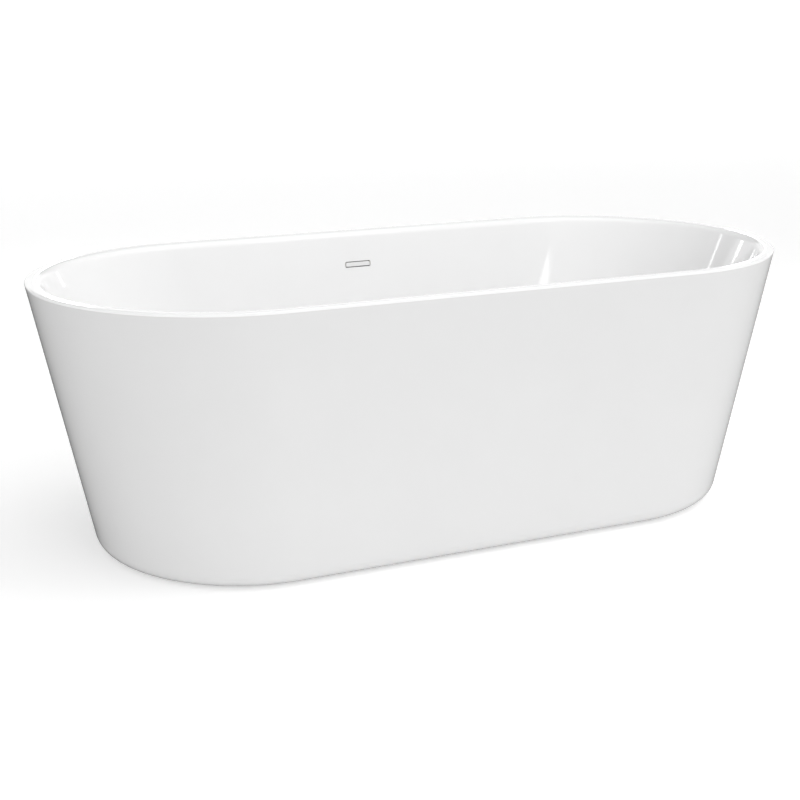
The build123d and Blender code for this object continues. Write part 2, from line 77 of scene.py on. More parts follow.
HALF_LENGTH = basin_high.x
HALF_WIDTH = basin_high.y
RIM_Z = basin_high.z
SEAM_Z = skirt_high.z  # underside of the rim, where the skirt is bonded on
SKIRT_Z = skirt_low.z
RIM_EDGE = 3.5 * MM
TAPER_END = 120 * MM
TAPER_SIDE = 72 * MM
BASE_EDGE = 38 * MM
SKIRT_WALL = 5 * MM
SKIRT_LIP = 20 * MM
FLANGE = 13 * MM
RIM_INSET = 30 * MM
RIM_ROLL = 18 * MM
BASIN_WALL = 5 * MM
FLOOR_Z = 140 * MM
FLOOR_EDGE = 90 * MM
END_SLOPE = math.radians(25)
SIDE_SLOPE = math.radians(8.5)
ARC_STEPS = 64  # around a quarter turn of the outline
ROLL_STEPS = 12
EDGE_STEPS = 16


# ---------------------------------------------------------------- small tools
def deselect():
    bpy.ops.object.select_all(action="DESELECT")


def active(piece):
    deselect()
    piece.select_set(True)
    bpy.context.view_layer.objects.active = piece
    return piece


def edit(piece, mode="VERT"):
    active(piece)
    bpy.ops.object.mode_set(mode="EDIT")
    bpy.ops.mesh.select_mode(type=mode)


def leave_edit():
    bpy.ops.object.mode_set(mode="OBJECT")


def pick(piece, kind, test):
    """Selects the vertices, edges or faces that pass a test, in edit mode."""
    mesh = bmesh.from_edit_mesh(piece.data)
    for part in (mesh.verts, mesh.edges, mesh.faces):
        for item in part:
            item.select = False
    for item in getattr(mesh, kind):
        if test(item):
            item.select_set(True)
    mesh.select_flush_mode()
    bmesh.update_edit_mesh(piece.data)


def apply_place(piece):
    active(piece)
    bpy.ops.object.transform_apply(location=True, rotation=True, scale=True)
    return piece


def modify(piece, kind, **settings):
    """Adds a modifier and applies it."""
    active(piece)
    modifier = piece.modifiers.new(kind.title(), kind)
    for name, value in settings.items():
        setattr(modifier, name, value)
    bpy.ops.object.modifier_apply(modifier=modifier.name)
    return piece


def cut(piece, cutter, operation="DIFFERENCE"):
    modify(piece, "BOOLEAN", object=cutter, operation=operation, solver="EXACT")
    bpy.data.objects.remove(cutter)
    return piece


def round_edges(piece, width, segments=3, angle=40):
    return modify(piece, "BEVEL", width=width, segments=segments, limit_method="ANGLE",
                  angle_limit=math.radians(angle), miter_outer="MITER_ARC")


def smooth(piece, angle=35):
    active(piece)
    bpy.ops.object.shade_smooth_by_angle(angle=math.radians(angle))
    return modify(piece, "WEIGHTED_NORMAL", keep_sharp=True, mode="FACE_AREA")


def face_outwards(piece):
    edit(piece)
    bpy.ops.mesh.select_all(action="SELECT")
    bpy.ops.mesh.remove_doubles(threshold=0.002 * MM)
    bpy.ops.mesh.normals_make_consistent(inside=False)
    leave_edit()
    return piece


def finish_piece(piece, material, body, slot, *stands_for):
    """Hands a finished piece to the frame: its finish, its body and the CAD nodes that it stands for."""
    if material:
        piece.data.materials.clear()
        piece.data.materials.append(material)
    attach(piece, body)
    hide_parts(*stands_for)
    return piece


def name_piece(piece, name):
    piece.name = name
    piece.data.name = name
    return piece


def wire(name, points, closed=True):
    """A line drawn by extruding one vertex from each point to the next."""
    deselect()
    bpy.ops.mesh.primitive_plane_add(size=MM, location=(0, 0, 0))
    line = name_piece(bpy.context.object, name)
    edit(line)
    bpy.ops.mesh.select_all(action="SELECT")
    bpy.ops.mesh.merge(type="CENTER")
    bpy.ops.transform.translate(value=points[0])
    for old, new in zip(points, points[1:]):
        step = Vector(new) - Vector(old)
        bpy.ops.mesh.extrude_region_move(TRANSFORM_OT_translate={"value": step})
    if closed:
        pick(line, "verts", lambda v: len(v.link_edges) < 2)
        bpy.ops.mesh.edge_face_add()
    leave_edit()
    return line


def arc(centre_r, centre_z, radius, start, end, steps=5):
    """Profile points round part of a circle, at angles in degrees from straight outwards."""
    turns = [math.radians(start + (end - start) * step / steps) for step in range(steps + 1)]
    return [(centre_r + radius * math.cos(turn), centre_z + radius * math.sin(turn)) for turn in turns]


def lathe(name, profile, steps=64):
    """A turned piece from a profile of (radius, height), a closed ring or a line from axis to axis."""
    ends_on_axis = profile[0][0] == 0 and profile[-1][0] == 0
    piece = wire(name, [(radius, 0, z) for radius, z in profile], not ends_on_axis)
    modify(piece, "SCREW", axis="Z", angle=2 * math.pi, steps=steps, render_steps=steps)
    return face_outwards(piece)


def rod(name, radius, low, high, chamfer=0.0, steps=48):
    """A turned rod along Z with chamfered ends."""
    return lathe(name, [(0, low), (radius - chamfer, low), (radius, low + chamfer),
                        (radius, high - chamfer), (radius - chamfer, high), (0, high)], steps)


def threaded_rod(name, radius, pitch, low, high, steps=24):
    """A rod with a real helical V thread, cut off square at both ends."""
    root = radius - 0.6 * pitch
    start = low - pitch
    turns = math.ceil((high - low) / pitch) + 2
    outline = ((root, 0), (root, 0.25), (radius, 0.56), (radius, 0.69), (root, 1))
    thread = wire(name, [(r, 0, start + share * pitch) for r, share in outline], False)
    modify(thread, "SCREW", axis="Z", angle=2 * math.pi, steps=steps, render_steps=steps,
           screw_offset=pitch, iterations=turns)
    face_outwards(thread)
    for z, side in ((low, "clear_inner"), (high, "clear_outer")):
        edit(thread)
        bpy.ops.mesh.select_all(action="SELECT")
        bpy.ops.mesh.bisect(plane_co=(0, 0, z), plane_no=(0, 0, 1), use_fill=True, **{side: True})
        leave_edit()
    return face_outwards(thread)


def hexagon(name, across_flats, low, high, chamfer):
    """A hexagonal bar with its corners turned down at both ends."""
    deselect()
    radius = across_flats / 2 / math.cos(math.radians(30))
    bpy.ops.mesh.primitive_cylinder_add(vertices=6, radius=radius, depth=high - low,
                                        location=(0, 0, (low + high) / 2), rotation=(0, 0, math.radians(30)))
    bar = apply_place(name_piece(bpy.context.object, name))
    flat = across_flats / 2 * 0.96
    envelope = lathe("envelope", [(0, low), (flat, low), (radius, low + chamfer), (radius, high - chamfer),
                                  (flat, high), (0, high)], 96)
    return cut(bar, envelope, "INTERSECT")


def box(name, low, high, edge=0.0, segments=3):
    """A block between two corners with rounded edges."""
    low, high = Vector(low), Vector(high)
    deselect()
    bpy.ops.mesh.primitive_cube_add(size=1, location=(low + high) / 2)
    block = name_piece(bpy.context.object, name)
    block.scale = high - low
    apply_place(block)
    if edge:
        round_edges(block, edge, segments)
    return block


def prism(name, outline, low, high, turn="Z"):
    """A flat outline of (a, b) points, thickened along an axis from low to high."""
    places = {"Z": lambda a, b: (a, b, low), "X": lambda a, b: (low, a, b)}[turn]
    thickness = high - low
    piece = wire(name, [places(a, b) for a, b in outline])
    edit(piece)
    bpy.ops.mesh.select_all(action="SELECT")
    bpy.ops.mesh.edge_face_add()
    step = (0, 0, thickness) if turn == "Z" else (thickness, 0, 0)
    bpy.ops.mesh.extrude_region_move(TRANSFORM_OT_translate={"value": step})
    leave_edit()
    return face_outwards(piece)


def rounded_outline(half_length, half_width, radius, steps=6):
    """Corners of a rounded rectangle, as an outline."""
    points = []
    for corner, (side_x, side_y) in enumerate(((1, 1), (-1, 1), (-1, -1), (1, -1))):
        centre_x, centre_y = side_x * (half_length - radius), side_y * (half_width - radius)
        points += arc(centre_x, centre_y, radius, 90 * corner, 90 * corner + 90, steps)
    return points


def join(pieces, name):
    deselect()
    for piece in pieces:
        piece.select_set(True)
    bpy.context.view_layer.objects.active = pieces[0]
    if len(pieces) > 1:
        bpy.ops.object.join()
    return name_piece(bpy.context.object, name)


def copies(piece, matrices):
    """Copies of a piece at these places, each with its own mesh. The model itself goes."""
    made = []
    for matrix in matrices:
        copy = piece.copy()
        copy.data = piece.data.copy()
        copy.data.transform(matrix)
        bpy.context.scene.collection.objects.link(copy)
        made.append(copy)
    bpy.data.objects.remove(piece)
    return made


def at(x=0.0, y=0.0, z=0.0, turn=0, axis="Z"):
    """A place, turned by some degrees about an axis first."""
    return Matrix.Translation((x, y, z)) @ Matrix.Rotation(math.radians(turn), 4, axis)


def moved(piece, matrix):
    piece.data.transform(matrix)
    return piece


def middle(node):
    low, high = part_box(node)
    return (low + high) / 2


# ---------------------------------------------------------------- the two shells
def outline_plate(name, half_length, half_width, z):
    """A flat plate with fully round ends: a rectangle with its corners rounded by half its width."""
    deselect()
    bpy.ops.mesh.primitive_plane_add(size=2, location=(0, 0, 0))
    plate = bpy.context.object
    plate.name = name
    plate.data.name = name
    edit(plate)
    bpy.ops.mesh.select_all(action="SELECT")
    bpy.ops.transform.resize(value=(half_length, half_width, 1), center_override=(0, 0, 0))
    bpy.ops.transform.translate(value=(0, 0, z))
    bpy.ops.mesh.bevel(offset=half_width, segments=ARC_STEPS, affect="VERTICES", profile=0.5,
                       clamp_overlap=False)
    bpy.ops.mesh.select_all(action="SELECT")
    bpy.ops.mesh.remove_doubles(threshold=0.01 * MM)
    return plate


def grow_loop(piece, old, new):
    """Extrudes the selected outline and reshapes it, so that its ends stay round."""
    old_length, old_width, old_z = old
    new_length, new_width, new_z = new
    bpy.ops.mesh.extrude_edges_move(TRANSFORM_OT_translate={"value": (0, 0, new_z - old_z)})
    mesh = bmesh.from_edit_mesh(piece.data)
    loop = [v.index for v in mesh.verts if v.select]
    old_centre = old_length - old_width
    shift = new_length - new_width - old_centre
    share = new_width / old_width
    for side in (1, -1):
        mesh = bmesh.from_edit_mesh(piece.data)
        mesh.verts.ensure_lookup_table()
        bpy.ops.mesh.select_all(action="DESELECT")
        for index in loop:
            if side * mesh.verts[index].co.x > 0:
                mesh.verts[index].select = True
        mesh.select_flush_mode()
        bpy.ops.transform.resize(value=(share, share, 1), center_override=(side * old_centre, 0, new_z))
        bpy.ops.transform.translate(value=(side * shift, 0, 0))
    mesh = bmesh.from_edit_mesh(piece.data)
    mesh.verts.ensure_lookup_table()
    for index in loop:
        mesh.verts[index].select = True
    mesh.select_flush_mode()


def rounding(height, radius, lean):
    """How far a rounded corner stands back from the straight wall, at a height from the flat face.

    lean is the wall's angle from upright, positive where the corner is more open than square."""
    if height >= radius * (1 - math.sin(lean)):
        return 0.0
    reach = math.sqrt(radius**2 - (radius - height) ** 2)
    return radius * math.tan(math.radians(45) - lean / 2) - reach + height * math.tan(lean)


def arc_heights(radius, lean, steps):
    """Heights from the flat face, evenly spread round the rounded corner."""
    sweep = math.radians(90) - lean
    return [radius * (1 - math.cos(sweep * step / steps)) for step in range(steps + 1)]


def wall_heights(low, high, steps):
    """Heights up a straight wall, with one close to each end to keep its shading flat."""
    margin = 3 * MM
    low, high = low + margin, high - margin
    return [low + (high - low) * step / steps for step in range(steps + 1)]


LEAN_END = math.atan(TAPER_END / (RIM_Z - RIM_EDGE))
LEAN_SIDE = math.atan(TAPER_SIDE / (RIM_Z - RIM_EDGE))


def skirt_section(z, inset=0.0, floor=SKIRT_Z, radius=BASE_EDGE):
    """Outline of the outside at a height, with its rounded base and rounded rim edge."""
    halves = []
    for half, taper, lean in ((HALF_LENGTH, TAPER_END, LEAN_END), (HALF_WIDTH, TAPER_SIDE, LEAN_SIDE)):
        half -= taper * (1 - z / (RIM_Z - RIM_EDGE)) + inset
        half -= rounding(z - floor, radius, lean) + rounding(RIM_Z - z, RIM_EDGE, -lean)
        halves.append(half)
    return (*halves, z)


def basin_section(z, thickness=0.0, top=RIM_Z):
    """Outline of the inside of the basin at a height, or of its underside when given a wall thickness."""
    halves = []
    for half, slope in ((HALF_LENGTH, END_SLOPE), (HALF_WIDTH, SIDE_SLOPE)):
        half += thickness - RIM_INSET - (RIM_Z - z) * math.tan(slope)
        half += rounding(top - z, RIM_ROLL - thickness, slope)
        half -= rounding(z - FLOOR_Z + thickness, FLOOR_EDGE + thickness, slope)
        halves.append(half)
    return (*halves, z)


def shrunk(section, margin):
    half_length, half_width, z = section
    return half_length - margin, half_width - margin, z


def gloss_where(piece, test, gloss, rough):
    """Gives the gloss finish to the faces that pass a test, and the rough back to the others."""
    piece.data.materials.append(gloss)
    piece.data.materials.append(rough)
    for face in piece.data.polygons:
        face.material_index = 0 if test(face) else 1


def make_skirt():
    edge = 1 * MM
    open_inset = BASE_EDGE + SKIRT_LIP
    arc = arc_heights(BASE_EDGE, LEAN_SIDE, EDGE_STEPS)
    inner_radius = BASE_EDGE - SKIRT_WALL
    inner_floor = SKIRT_Z + SKIRT_WALL
    inner_arc = arc_heights(inner_radius, LEAN_SIDE, EDGE_STEPS)
    flange_z = SEAM_Z - 6 * MM

    def inner(z):
        return skirt_section(z, SKIRT_WALL, inner_floor, inner_radius)

    def plain(z, inset):
        half_length, half_width, _ = skirt_section(z + BASE_EDGE, inset)
        drop = BASE_EDGE / (RIM_Z - RIM_EDGE)
        return half_length - TAPER_END * drop, half_width - TAPER_SIDE * drop, z

    sections = [plain(SKIRT_Z + edge, open_inset), plain(SKIRT_Z, open_inset - edge)]
    sections += [shrunk(skirt_section(SKIRT_Z), 3 * MM)]
    sections += [skirt_section(SKIRT_Z + height) for height in arc]
    sections += [skirt_section(z) for z in wall_heights(SKIRT_Z + arc[-1], SEAM_Z, 8)]
    sections += [skirt_section(SEAM_Z), skirt_section(SEAM_Z, 6 * MM),
                 skirt_section(SEAM_Z - 1.5 * MM, 6 * MM)]
    sections += [skirt_section(SEAM_Z - 1.5 * MM, FLANGE), skirt_section(flange_z, FLANGE)]
    sections += [inner(flange_z)]
    sections += [inner(z) for z in reversed(wall_heights(inner_floor + inner_arc[-1], flange_z, 8))]
    sections += [inner(inner_floor + height) for height in reversed(inner_arc)]
    sections += [plain(inner_floor, open_inset - edge), plain(inner_floor - edge, open_inset)]
    skirt = outline_plate("skirt_shell", *sections[0])
    bpy.ops.mesh.delete(type="ONLY_FACE")
    bpy.ops.mesh.select_all(action="SELECT")
    for old, new in zip(sections, sections[1:]):
        grow_loop(skirt, old, new)
    pick(skirt, "edges", lambda e: e.is_boundary)
    bpy.ops.mesh.bridge_edge_loops()
    leave_edit()
    face_outwards(skirt)
    gloss_where(skirt, lambda face: face.normal.z < -0.02, skirt_acrylic_painted_shade, backing)
    smooth(skirt)
    return finish_piece(skirt, None, "bath", "acrylic_skirt", "outer_skirt")


def make_basin():
    under_z = FLOOR_Z - BASIN_WALL
    floor_arc = arc_heights(FLOOR_EDGE, SIDE_SLOPE, 24)
    roll_arc = arc_heights(RIM_ROLL, SIDE_SLOPE, ROLL_STEPS)
    edge_arc = arc_heights(RIM_EDGE, -LEAN_SIDE, 6)
    under_floor_arc = arc_heights(FLOOR_EDGE + BASIN_WALL, SIDE_SLOPE, 20)
    under_roll_arc = arc_heights(RIM_ROLL - BASIN_WALL, SIDE_SLOPE, 8)

    def under(z):
        return basin_section(z, BASIN_WALL, SEAM_Z)

    floor = basin_section(FLOOR_Z)
    rim_in = basin_section(RIM_Z)
    rim_out = skirt_section(RIM_Z)
    sections = [shrunk(floor, 8 * MM)]
    sections += [basin_section(FLOOR_Z + height) for height in floor_arc]
    sections += [basin_section(z) for z in wall_heights(FLOOR_Z + floor_arc[-1], RIM_Z - roll_arc[-1], 8)]
    sections += [basin_section(RIM_Z - height) for height in reversed(roll_arc)]
    sections += [shrunk(rim_in, -1 * MM), shrunk(rim_out, 1 * MM)]
    sections += [skirt_section(RIM_Z - height) for height in edge_arc if RIM_Z - height > SEAM_Z]
    sections += [skirt_section(SEAM_Z), shrunk(under(SEAM_Z), -1 * MM)]
    sections += [under(SEAM_Z - height) for height in under_roll_arc]
    sections += [under(z) for z in reversed(
        wall_heights(under_z + under_floor_arc[-1], SEAM_Z - under_roll_arc[-1], 6))]
    sections += [under(under_z + height) for height in reversed(under_floor_arc)]
    sections += [shrunk(under(under_z), 8 * MM)]
    basin = outline_plate("basin_shell", *sections[0])
    for old, new in zip(sections, sections[1:]):
        grow_loop(basin, old, new)
    bpy.ops.mesh.edge_face_add()
    leave_edit()
    face_outwards(basin)
    add_drain_seat(basin)
    add_overflow_slot(basin)
    gloss_where(basin, lambda face: face.normal.z > 0.02 or face.center.z > SEAM_Z, basin_acrylic_painted_light, backing)
    smooth(basin)
    return finish_piece(basin, None, "bath", "acrylic_basin", "basin")


# ---------------------------------------------------------------- holes in the basin
DRAIN_RECESS = 39.9 * MM
DRAIN_RECESS_Z = FLOOR_Z - 3 * MM
DRAIN_BOSS = 49.9 * MM
DRAIN_BOSS_Z = basin_low.z
DRAIN_HOLE = 25 * MM
OVERFLOW_Z = RIM_Z - 79 * MM
OVERFLOW_Y = HALF_WIDTH - RIM_INSET - (RIM_Z - OVERFLOW_Z) * math.tan(SIDE_SLOPE)
OVERFLOW_WIDTH = 66 * MM
OVERFLOW_HEIGHT = 14 * MM
OVERFLOW_CORNER = 3.5 * MM


def disc(name, radius, low, high, steps=128):
    deselect()
    bpy.ops.mesh.primitive_cylinder_add(vertices=steps, radius=radius, depth=high - low,
                                        location=(0, 0, (low + high) / 2))
    piece = bpy.context.object
    piece.name = name
    piece.data.name = name
    return apply_place(piece)


def add_drain_seat(basin):
    """A boss under the floor, a shallow recess for the flange, and the hole through both."""
    boss = disc("boss", DRAIN_BOSS, DRAIN_BOSS_Z, FLOOR_Z - 1 * MM)
    round_edges(boss, 1.5 * MM)
    cut(basin, boss, "UNION")
    recess = disc("recess", DRAIN_RECESS, DRAIN_RECESS_Z, FLOOR_Z + 10 * MM)
    edit(recess, "EDGE")
    pick(recess, "edges", lambda e: all(abs(v.co.z - DRAIN_RECESS_Z) < MM / 10 for v in e.verts))
    bpy.ops.mesh.bevel(offset=1.6 * MM, segments=4)
    leave_edit()
    cut(basin, recess)
    cut(basin, disc("hole", DRAIN_HOLE, DRAIN_BOSS_Z - 5 * MM, FLOOR_Z))


def slot_block(name, margin, depth):
    """A block with rounded corners that stands in the overflow slot, square to the wall."""
    deselect()
    bpy.ops.mesh.primitive_plane_add(size=2, location=(0, 0, 0))
    block = bpy.context.object
    block.name = name
    block.data.name = name
    edit(block)
    bpy.ops.mesh.select_all(action="SELECT")
    size = (OVERFLOW_WIDTH / 2 - margin, OVERFLOW_HEIGHT / 2 - margin, 1)
    bpy.ops.transform.resize(value=size, center_override=(0, 0, 0))
    bpy.ops.mesh.bevel(offset=OVERFLOW_CORNER - margin / 2, segments=8, affect="VERTICES", profile=0.5)
    bpy.ops.mesh.select_all(action="SELECT")
    bpy.ops.transform.translate(value=(0, 0, -depth / 2))
    bpy.ops.mesh.extrude_region_move(TRANSFORM_OT_translate={"value": (0, 0, depth)})
    leave_edit()
    return face_outwards(block)


def stand_in_wall(piece):
    """Turns a piece modelled flat on the ground so that its +Z points out through the sloping wall."""
    piece.matrix_world = (Matrix.Translation((0, OVERFLOW_Y, OVERFLOW_Z))
                          @ Matrix.Rotation(-math.pi / 2 - SIDE_SLOPE, 4, "X"))
    return apply_place(piece)


def add_overflow_slot(basin):
    cut(basin, stand_in_wall(slot_block("slot", 0, 40 * MM)))


# ---------------------------------------------------------------- materials
def linear(hex_colour):
    """sRGB hex to linear RGBA."""
    channels = [int(hex_colour[i:i + 2], 16) / 255 for i in (1, 3, 5)]
    return tuple(c / 12.92 if c <= 0.04045 else ((c + 0.055) / 1.055) ** 2.4 for c in channels) + (1.0,)


def new_material(name):
    material = bpy.data.materials.new(name)
    material.use_nodes = True
    tree = material.node_tree
    tree.nodes.clear()
    output = tree.nodes.new("ShaderNodeOutputMaterial")
    shader = tree.nodes.new("ShaderNodeBsdfPrincipled")
    tree.links.new(shader.outputs[0], output.inputs[0])
    return material, tree, shader


def fill(node, settings):
    """Gives a node its settings: a property, an input's value, or a socket to link into an input."""
    for name, value in settings.items():
        if isinstance(value, bpy.types.NodeSocket):
            node.id_data.links.new(value, node.inputs[name])
        elif isinstance(name, int) or name in node.inputs:
            node.inputs[name].default_value = value
        else:
            setattr(node, name, value)
    return node


def add(tree, kind, settings=None):
    return fill(tree.nodes.new("ShaderNode" + kind), settings or {})


def ramp(tree, source, low, high):
    """Blends between two sRGB colours."""
    made = add(tree, "ValToRGB", {"Fac": source})
    made.color_ramp.elements[0].color = linear(low)
    made.color_ramp.elements[1].color = linear(high)
    return made.outputs["Color"]


def span(tree, source, low, high):
    """Spreads a 0 to 1 value between two others."""
    return add(tree, "MapRange", {"Value": source, "To Min": low, "To Max": high}).outputs["Result"]


def bump(tree, source, depth, strength=1.0, under=None):
    """Relief of a real depth in metres, on top of another relief."""
    settings = {"Height": source, "Distance": depth, "Strength": strength}
    if under:
        settings["Normal"] = under
    return add(tree, "Bump", settings).outputs["Normal"]


def noise(tree, place, size, detail=2.0, distortion=0.0):
    """Noise whose blotches are about this size, in metres."""
    return add(tree, "TexNoise", {"Vector": place, "Scale": 1 / size, "Detail": detail,
                                  "Distortion": distortion}).outputs["Fac"]


def stretched(tree, place, x, y, z):
    """The same place with its pattern drawn out by these factors."""
    return add(tree, "Mapping", {"Vector": place, "Scale": (1 / x, 1 / y, 1 / z)}).outputs["Vector"]


def make_acrylic(name, low, high):
    """Sanitary acrylic sheet, vacuum formed: a deep even gloss with a very faint waviness from the mould. Its
    base tone, low to high, is given per copy; the basin's and the skirt's copies differ only by painted light
    and painted shade.
    """
    material, tree, shader = new_material(name)
    place = add(tree, "TexCoord").outputs["Object"]
    swell = noise(tree, place, 110 * MM, 1.0)
    peel = noise(tree, place, 1.4 * MM)
    normal = bump(tree, peel, 0.02 * MM, 0.02, bump(tree, swell, 1 * MM, 0.04))
    fill(shader, {"IOR": 1.49, "Base Color": ramp(tree, swell, low, high),
                  "Roughness": span(tree, peel, 0.06, 0.09), "Normal": normal})
    return material


def make_backing():
    """Glass fibre and resin sprayed on the hidden side: pale and rough, with strands that catch light."""
    material, tree, shader = new_material("glass_fibre_backing")
    place = add(tree, "TexCoord").outputs["Object"]
    strands = noise(tree, stretched(tree, place, 1, 1, 0.2), 20 * MM, 6.0, 2.5)
    fill(shader, {"IOR": 1.54, "Base Color": ramp(tree, strands, "#C9C4B4", "#E6E3D8"),
                  "Roughness": span(tree, strands, 0.45, 0.75), "Normal": bump(tree, strands, 1 * MM, 0.6)})
    return material


def make_metal(name, low, high, rough_low, rough_high, grain, relief):
    """Bare or plated metal: its tint and roughness drift in blotches, over a fine relief of its surface."""
    material, tree, shader = new_material(name)
    place = add(tree, "TexCoord").outputs["Object"]
    blotch = noise(tree, place, 14 * MM, 3.0)
    fine = noise(tree, place, grain)
    fill(shader, {"Metallic": 1.0, "Base Color": ramp(tree, blotch, low, high),
                  "Roughness": span(tree, blotch, rough_low, rough_high), "Normal": bump(tree, fine, relief)})
    return material


def make_powder_coat():
    """Polyester powder baked on steel: satin black with the fine orange peel left as the powder flows."""
    material, tree, shader = new_material("satin_black_powder_coat")
    place = add(tree, "TexCoord").outputs["Object"]
    peel = noise(tree, place, 1.6 * MM, 2.0)
    cloud = noise(tree, place, 40 * MM)
    fill(shader, {"IOR": 1.5, "Base Color": ramp(tree, cloud, "#1B1C1E", "#232427"),
                  "Roughness": span(tree, cloud, 0.34, 0.46), "Normal": bump(tree, peel, 0.05 * MM, 0.5)})
    return material


def make_moulded(name, low, high, rough_low, rough_high, grain, relief, ior=1.5):
    """Moulded plastic or rubber: an even colour over the fine texture that the mould left."""
    material, tree, shader = new_material(name)
    place = add(tree, "TexCoord").outputs["Object"]
    cloud = noise(tree, place, 25 * MM)
    texture = noise(tree, place, grain, 3.0)
    fill(shader, {"IOR": ior, "Base Color": ramp(tree, cloud, low, high),
                  "Roughness": span(tree, texture, rough_low, rough_high),
                  "Normal": bump(tree, texture, relief)})
    return material


def make_coated_board():
    """Chipboard under a thin coat of resin: flakes 6 mm long show through the pale skin."""
    material, tree, shader = new_material("resin_coated_chipboard")
    place = add(tree, "TexCoord").outputs["Object"]
    long_flakes = stretched(tree, place, 2.5, 1, 1)
    cells = add(tree, "TexVoronoi", {"Vector": long_flakes, "Scale": 1 / (2.4 * MM)}).outputs["Color"]
    flake = add(tree, "SeparateColor", {"Color": cells}).outputs["Red"]
    fibres = noise(tree, stretched(tree, place, 8, 1, 1), 1 * MM, 4.0)
    mixed = add(tree, "Math", {"operation": "MULTIPLY_ADD", 0: fibres, 1: 0.5, 2: flake}).outputs["Value"]
    fill(shader, {"IOR": 1.5, "Base Color": ramp(tree, mixed, "#8E7350", "#CBB389"),
                  "Roughness": span(tree, fibres, 0.4, 0.7), "Normal": bump(tree, mixed, 0.15 * MM)})
    return material


def make_softwood():
    """Planed pine cut along the grain: growth rings about 4 mm apart, dark on their late side."""
    material, tree, shader = new_material("planed_pine")
    place = add(tree, "TexCoord").outputs["Object"]
    drawn = stretched(tree, place, 14, 1, 1)
    rings = add(tree, "TexWave", {"Vector": drawn, "bands_direction": "Z", "wave_profile": "SAW",
                                  "Scale": 80.0, "Distortion": 4.0, "Detail": 2.0, "Detail Scale": 1.5})
    pores = noise(tree, stretched(tree, place, 20, 1, 1), 0.5 * MM, 3.0)
    tint = ramp(tree, rings.outputs["Fac"], "#E3C48F", "#B98A50")
    fill(shader, {"IOR": 1.5, "Base Color": tint, "Roughness": span(tree, pores, 0.5, 0.75),
                  "Normal": bump(tree, pores, 0.08 * MM)})
    return material


# The basin's copy of the same white acrylic is painted lighter: painted light on the inside of the basin.
basin_acrylic_painted_light = make_acrylic("gloss_white_acrylic_basin_painted_light", "#F6F6F6", "#F8F8F8")
# The skirt's copy of the same white acrylic is painted darker: painted shade on the outer wall.
skirt_acrylic_painted_shade = make_acrylic("gloss_white_acrylic_skirt_painted_shade", "#DFDFDF", "#E1E1E1")
backing = make_backing()
coated_board = make_coated_board()
powder_coat = make_powder_coat()
softwood = make_softwood()
# Electroplated zinc: a bright, slightly blue grey, a little uneven where the plating pooled.
zinc_plate = make_metal("bright_zinc_plate", "#B9BEC6", "#D2D6DB", 0.22, 0.36, 0.6 * MM, 0.01 * MM)
# Polished chrome over brass: almost a mirror, only faintly uneven.
chrome = make_metal("polished_chrome", "#DADCDE", "#E2E4E6", 0.04, 0.08, 3 * MM, 0.002 * MM)
# Turned brass: warm, with the cutting tool's fine marks dulling it.
brass = make_metal("turned_brass", "#C9A24A", "#D9B765", 0.2, 0.34, 0.4 * MM, 0.01 * MM)
# Drawn stainless spring wire: smooth and slightly darker than plate.
spring_steel = make_metal("stainless_spring_wire", "#A6A8AB", "#BFC1C3", 0.18, 0.3, 0.5 * MM, 0.005 * MM)
# Glass-filled nylon from a spark-eroded mould: near black with a fine matt grain.
black_plastic = make_moulded("black_nylon", "#17181A", "#202124", 0.42, 0.6, 0.8 * MM, 0.04 * MM, 1.53)
# Nitrile rubber pressed in a smooth mould: very dark and dull.
rubber = make_moulded("nitrile_rubber", "#1D1D1D", "#262626", 0.6, 0.8, 0.5 * MM, 0.02 * MM, 1.52)
# Natural polypropylene: a milky off-white with a low sheen.
polypropylene = make_moulded("white_polypropylene", "#DEDEDA", "#E6E6E2", 0.3, 0.42,
                             1.2 * MM, 0.02 * MM, 1.49)
# Blown polyethylene hose: light grey with a waxy sheen.
hose_plastic = make_moulded("grey_polyethylene_hose", "#B4B6B8", "#C0C2C4", 0.35, 0.5,
                            1.5 * MM, 0.03 * MM, 1.51)
# Glossy ABS moulding, whiter than the basin around it.
white_abs = make_moulded("gloss_white_abs", "#ECECEC", "#F0F0F0", 0.08, 0.14, 2 * MM, 0.004 * MM, 1.53)
# Cured polyurethane adhesive: a soft-looking, slightly lumpy cream bead.
adhesive = make_moulded("polyurethane_adhesive", "#DDD8C8", "#E8E4D6", 0.5, 0.7, 4 * MM, 0.2 * MM, 1.48)


# ---------------------------------------------------------------- frame, board and feet
BOARD_LOW, BOARD_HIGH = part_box("base_board")
TUBE = 25 * MM
TUBE_WALL = 1.5 * MM
TUBE_CORNER = 3 * MM
RAIL_LOW, RAIL_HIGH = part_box("frame_rail_back")
RAIL_Y = middle("frame_rail_back").y
CROSSBAR_LOW, CROSSBAR_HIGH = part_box("frame_crossbar_right")
CROSSBAR_X = middle("frame_crossbar_right").x
FOOT_Y = middle("foot_pad_4").y
FEET = ((-1, -1), (-1, 1), (1, -1), (1, 1))
THREAD = 6 * MM
NUT_FLATS = 18 * MM
SCREW_X = (-410 * MM, -128 * MM, 128 * MM, 410 * MM)
BRACKET_SCREW_Y = FOOT_Y + NUT_FLATS / 2 + 12 * MM
BLOCK_LOW, BLOCK_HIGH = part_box("skirt_block_4")
BRACKET_LOW, BRACKET_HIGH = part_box("skirt_bracket_4")
BRACKET_THICKNESS = 3 * MM
BLOCK_SCREW_Z = BLOCK_LOW.z + 19 * MM


def screw_places():
    return [(x, y) for x in SCREW_X for y in (-RAIL_Y, RAIL_Y)]


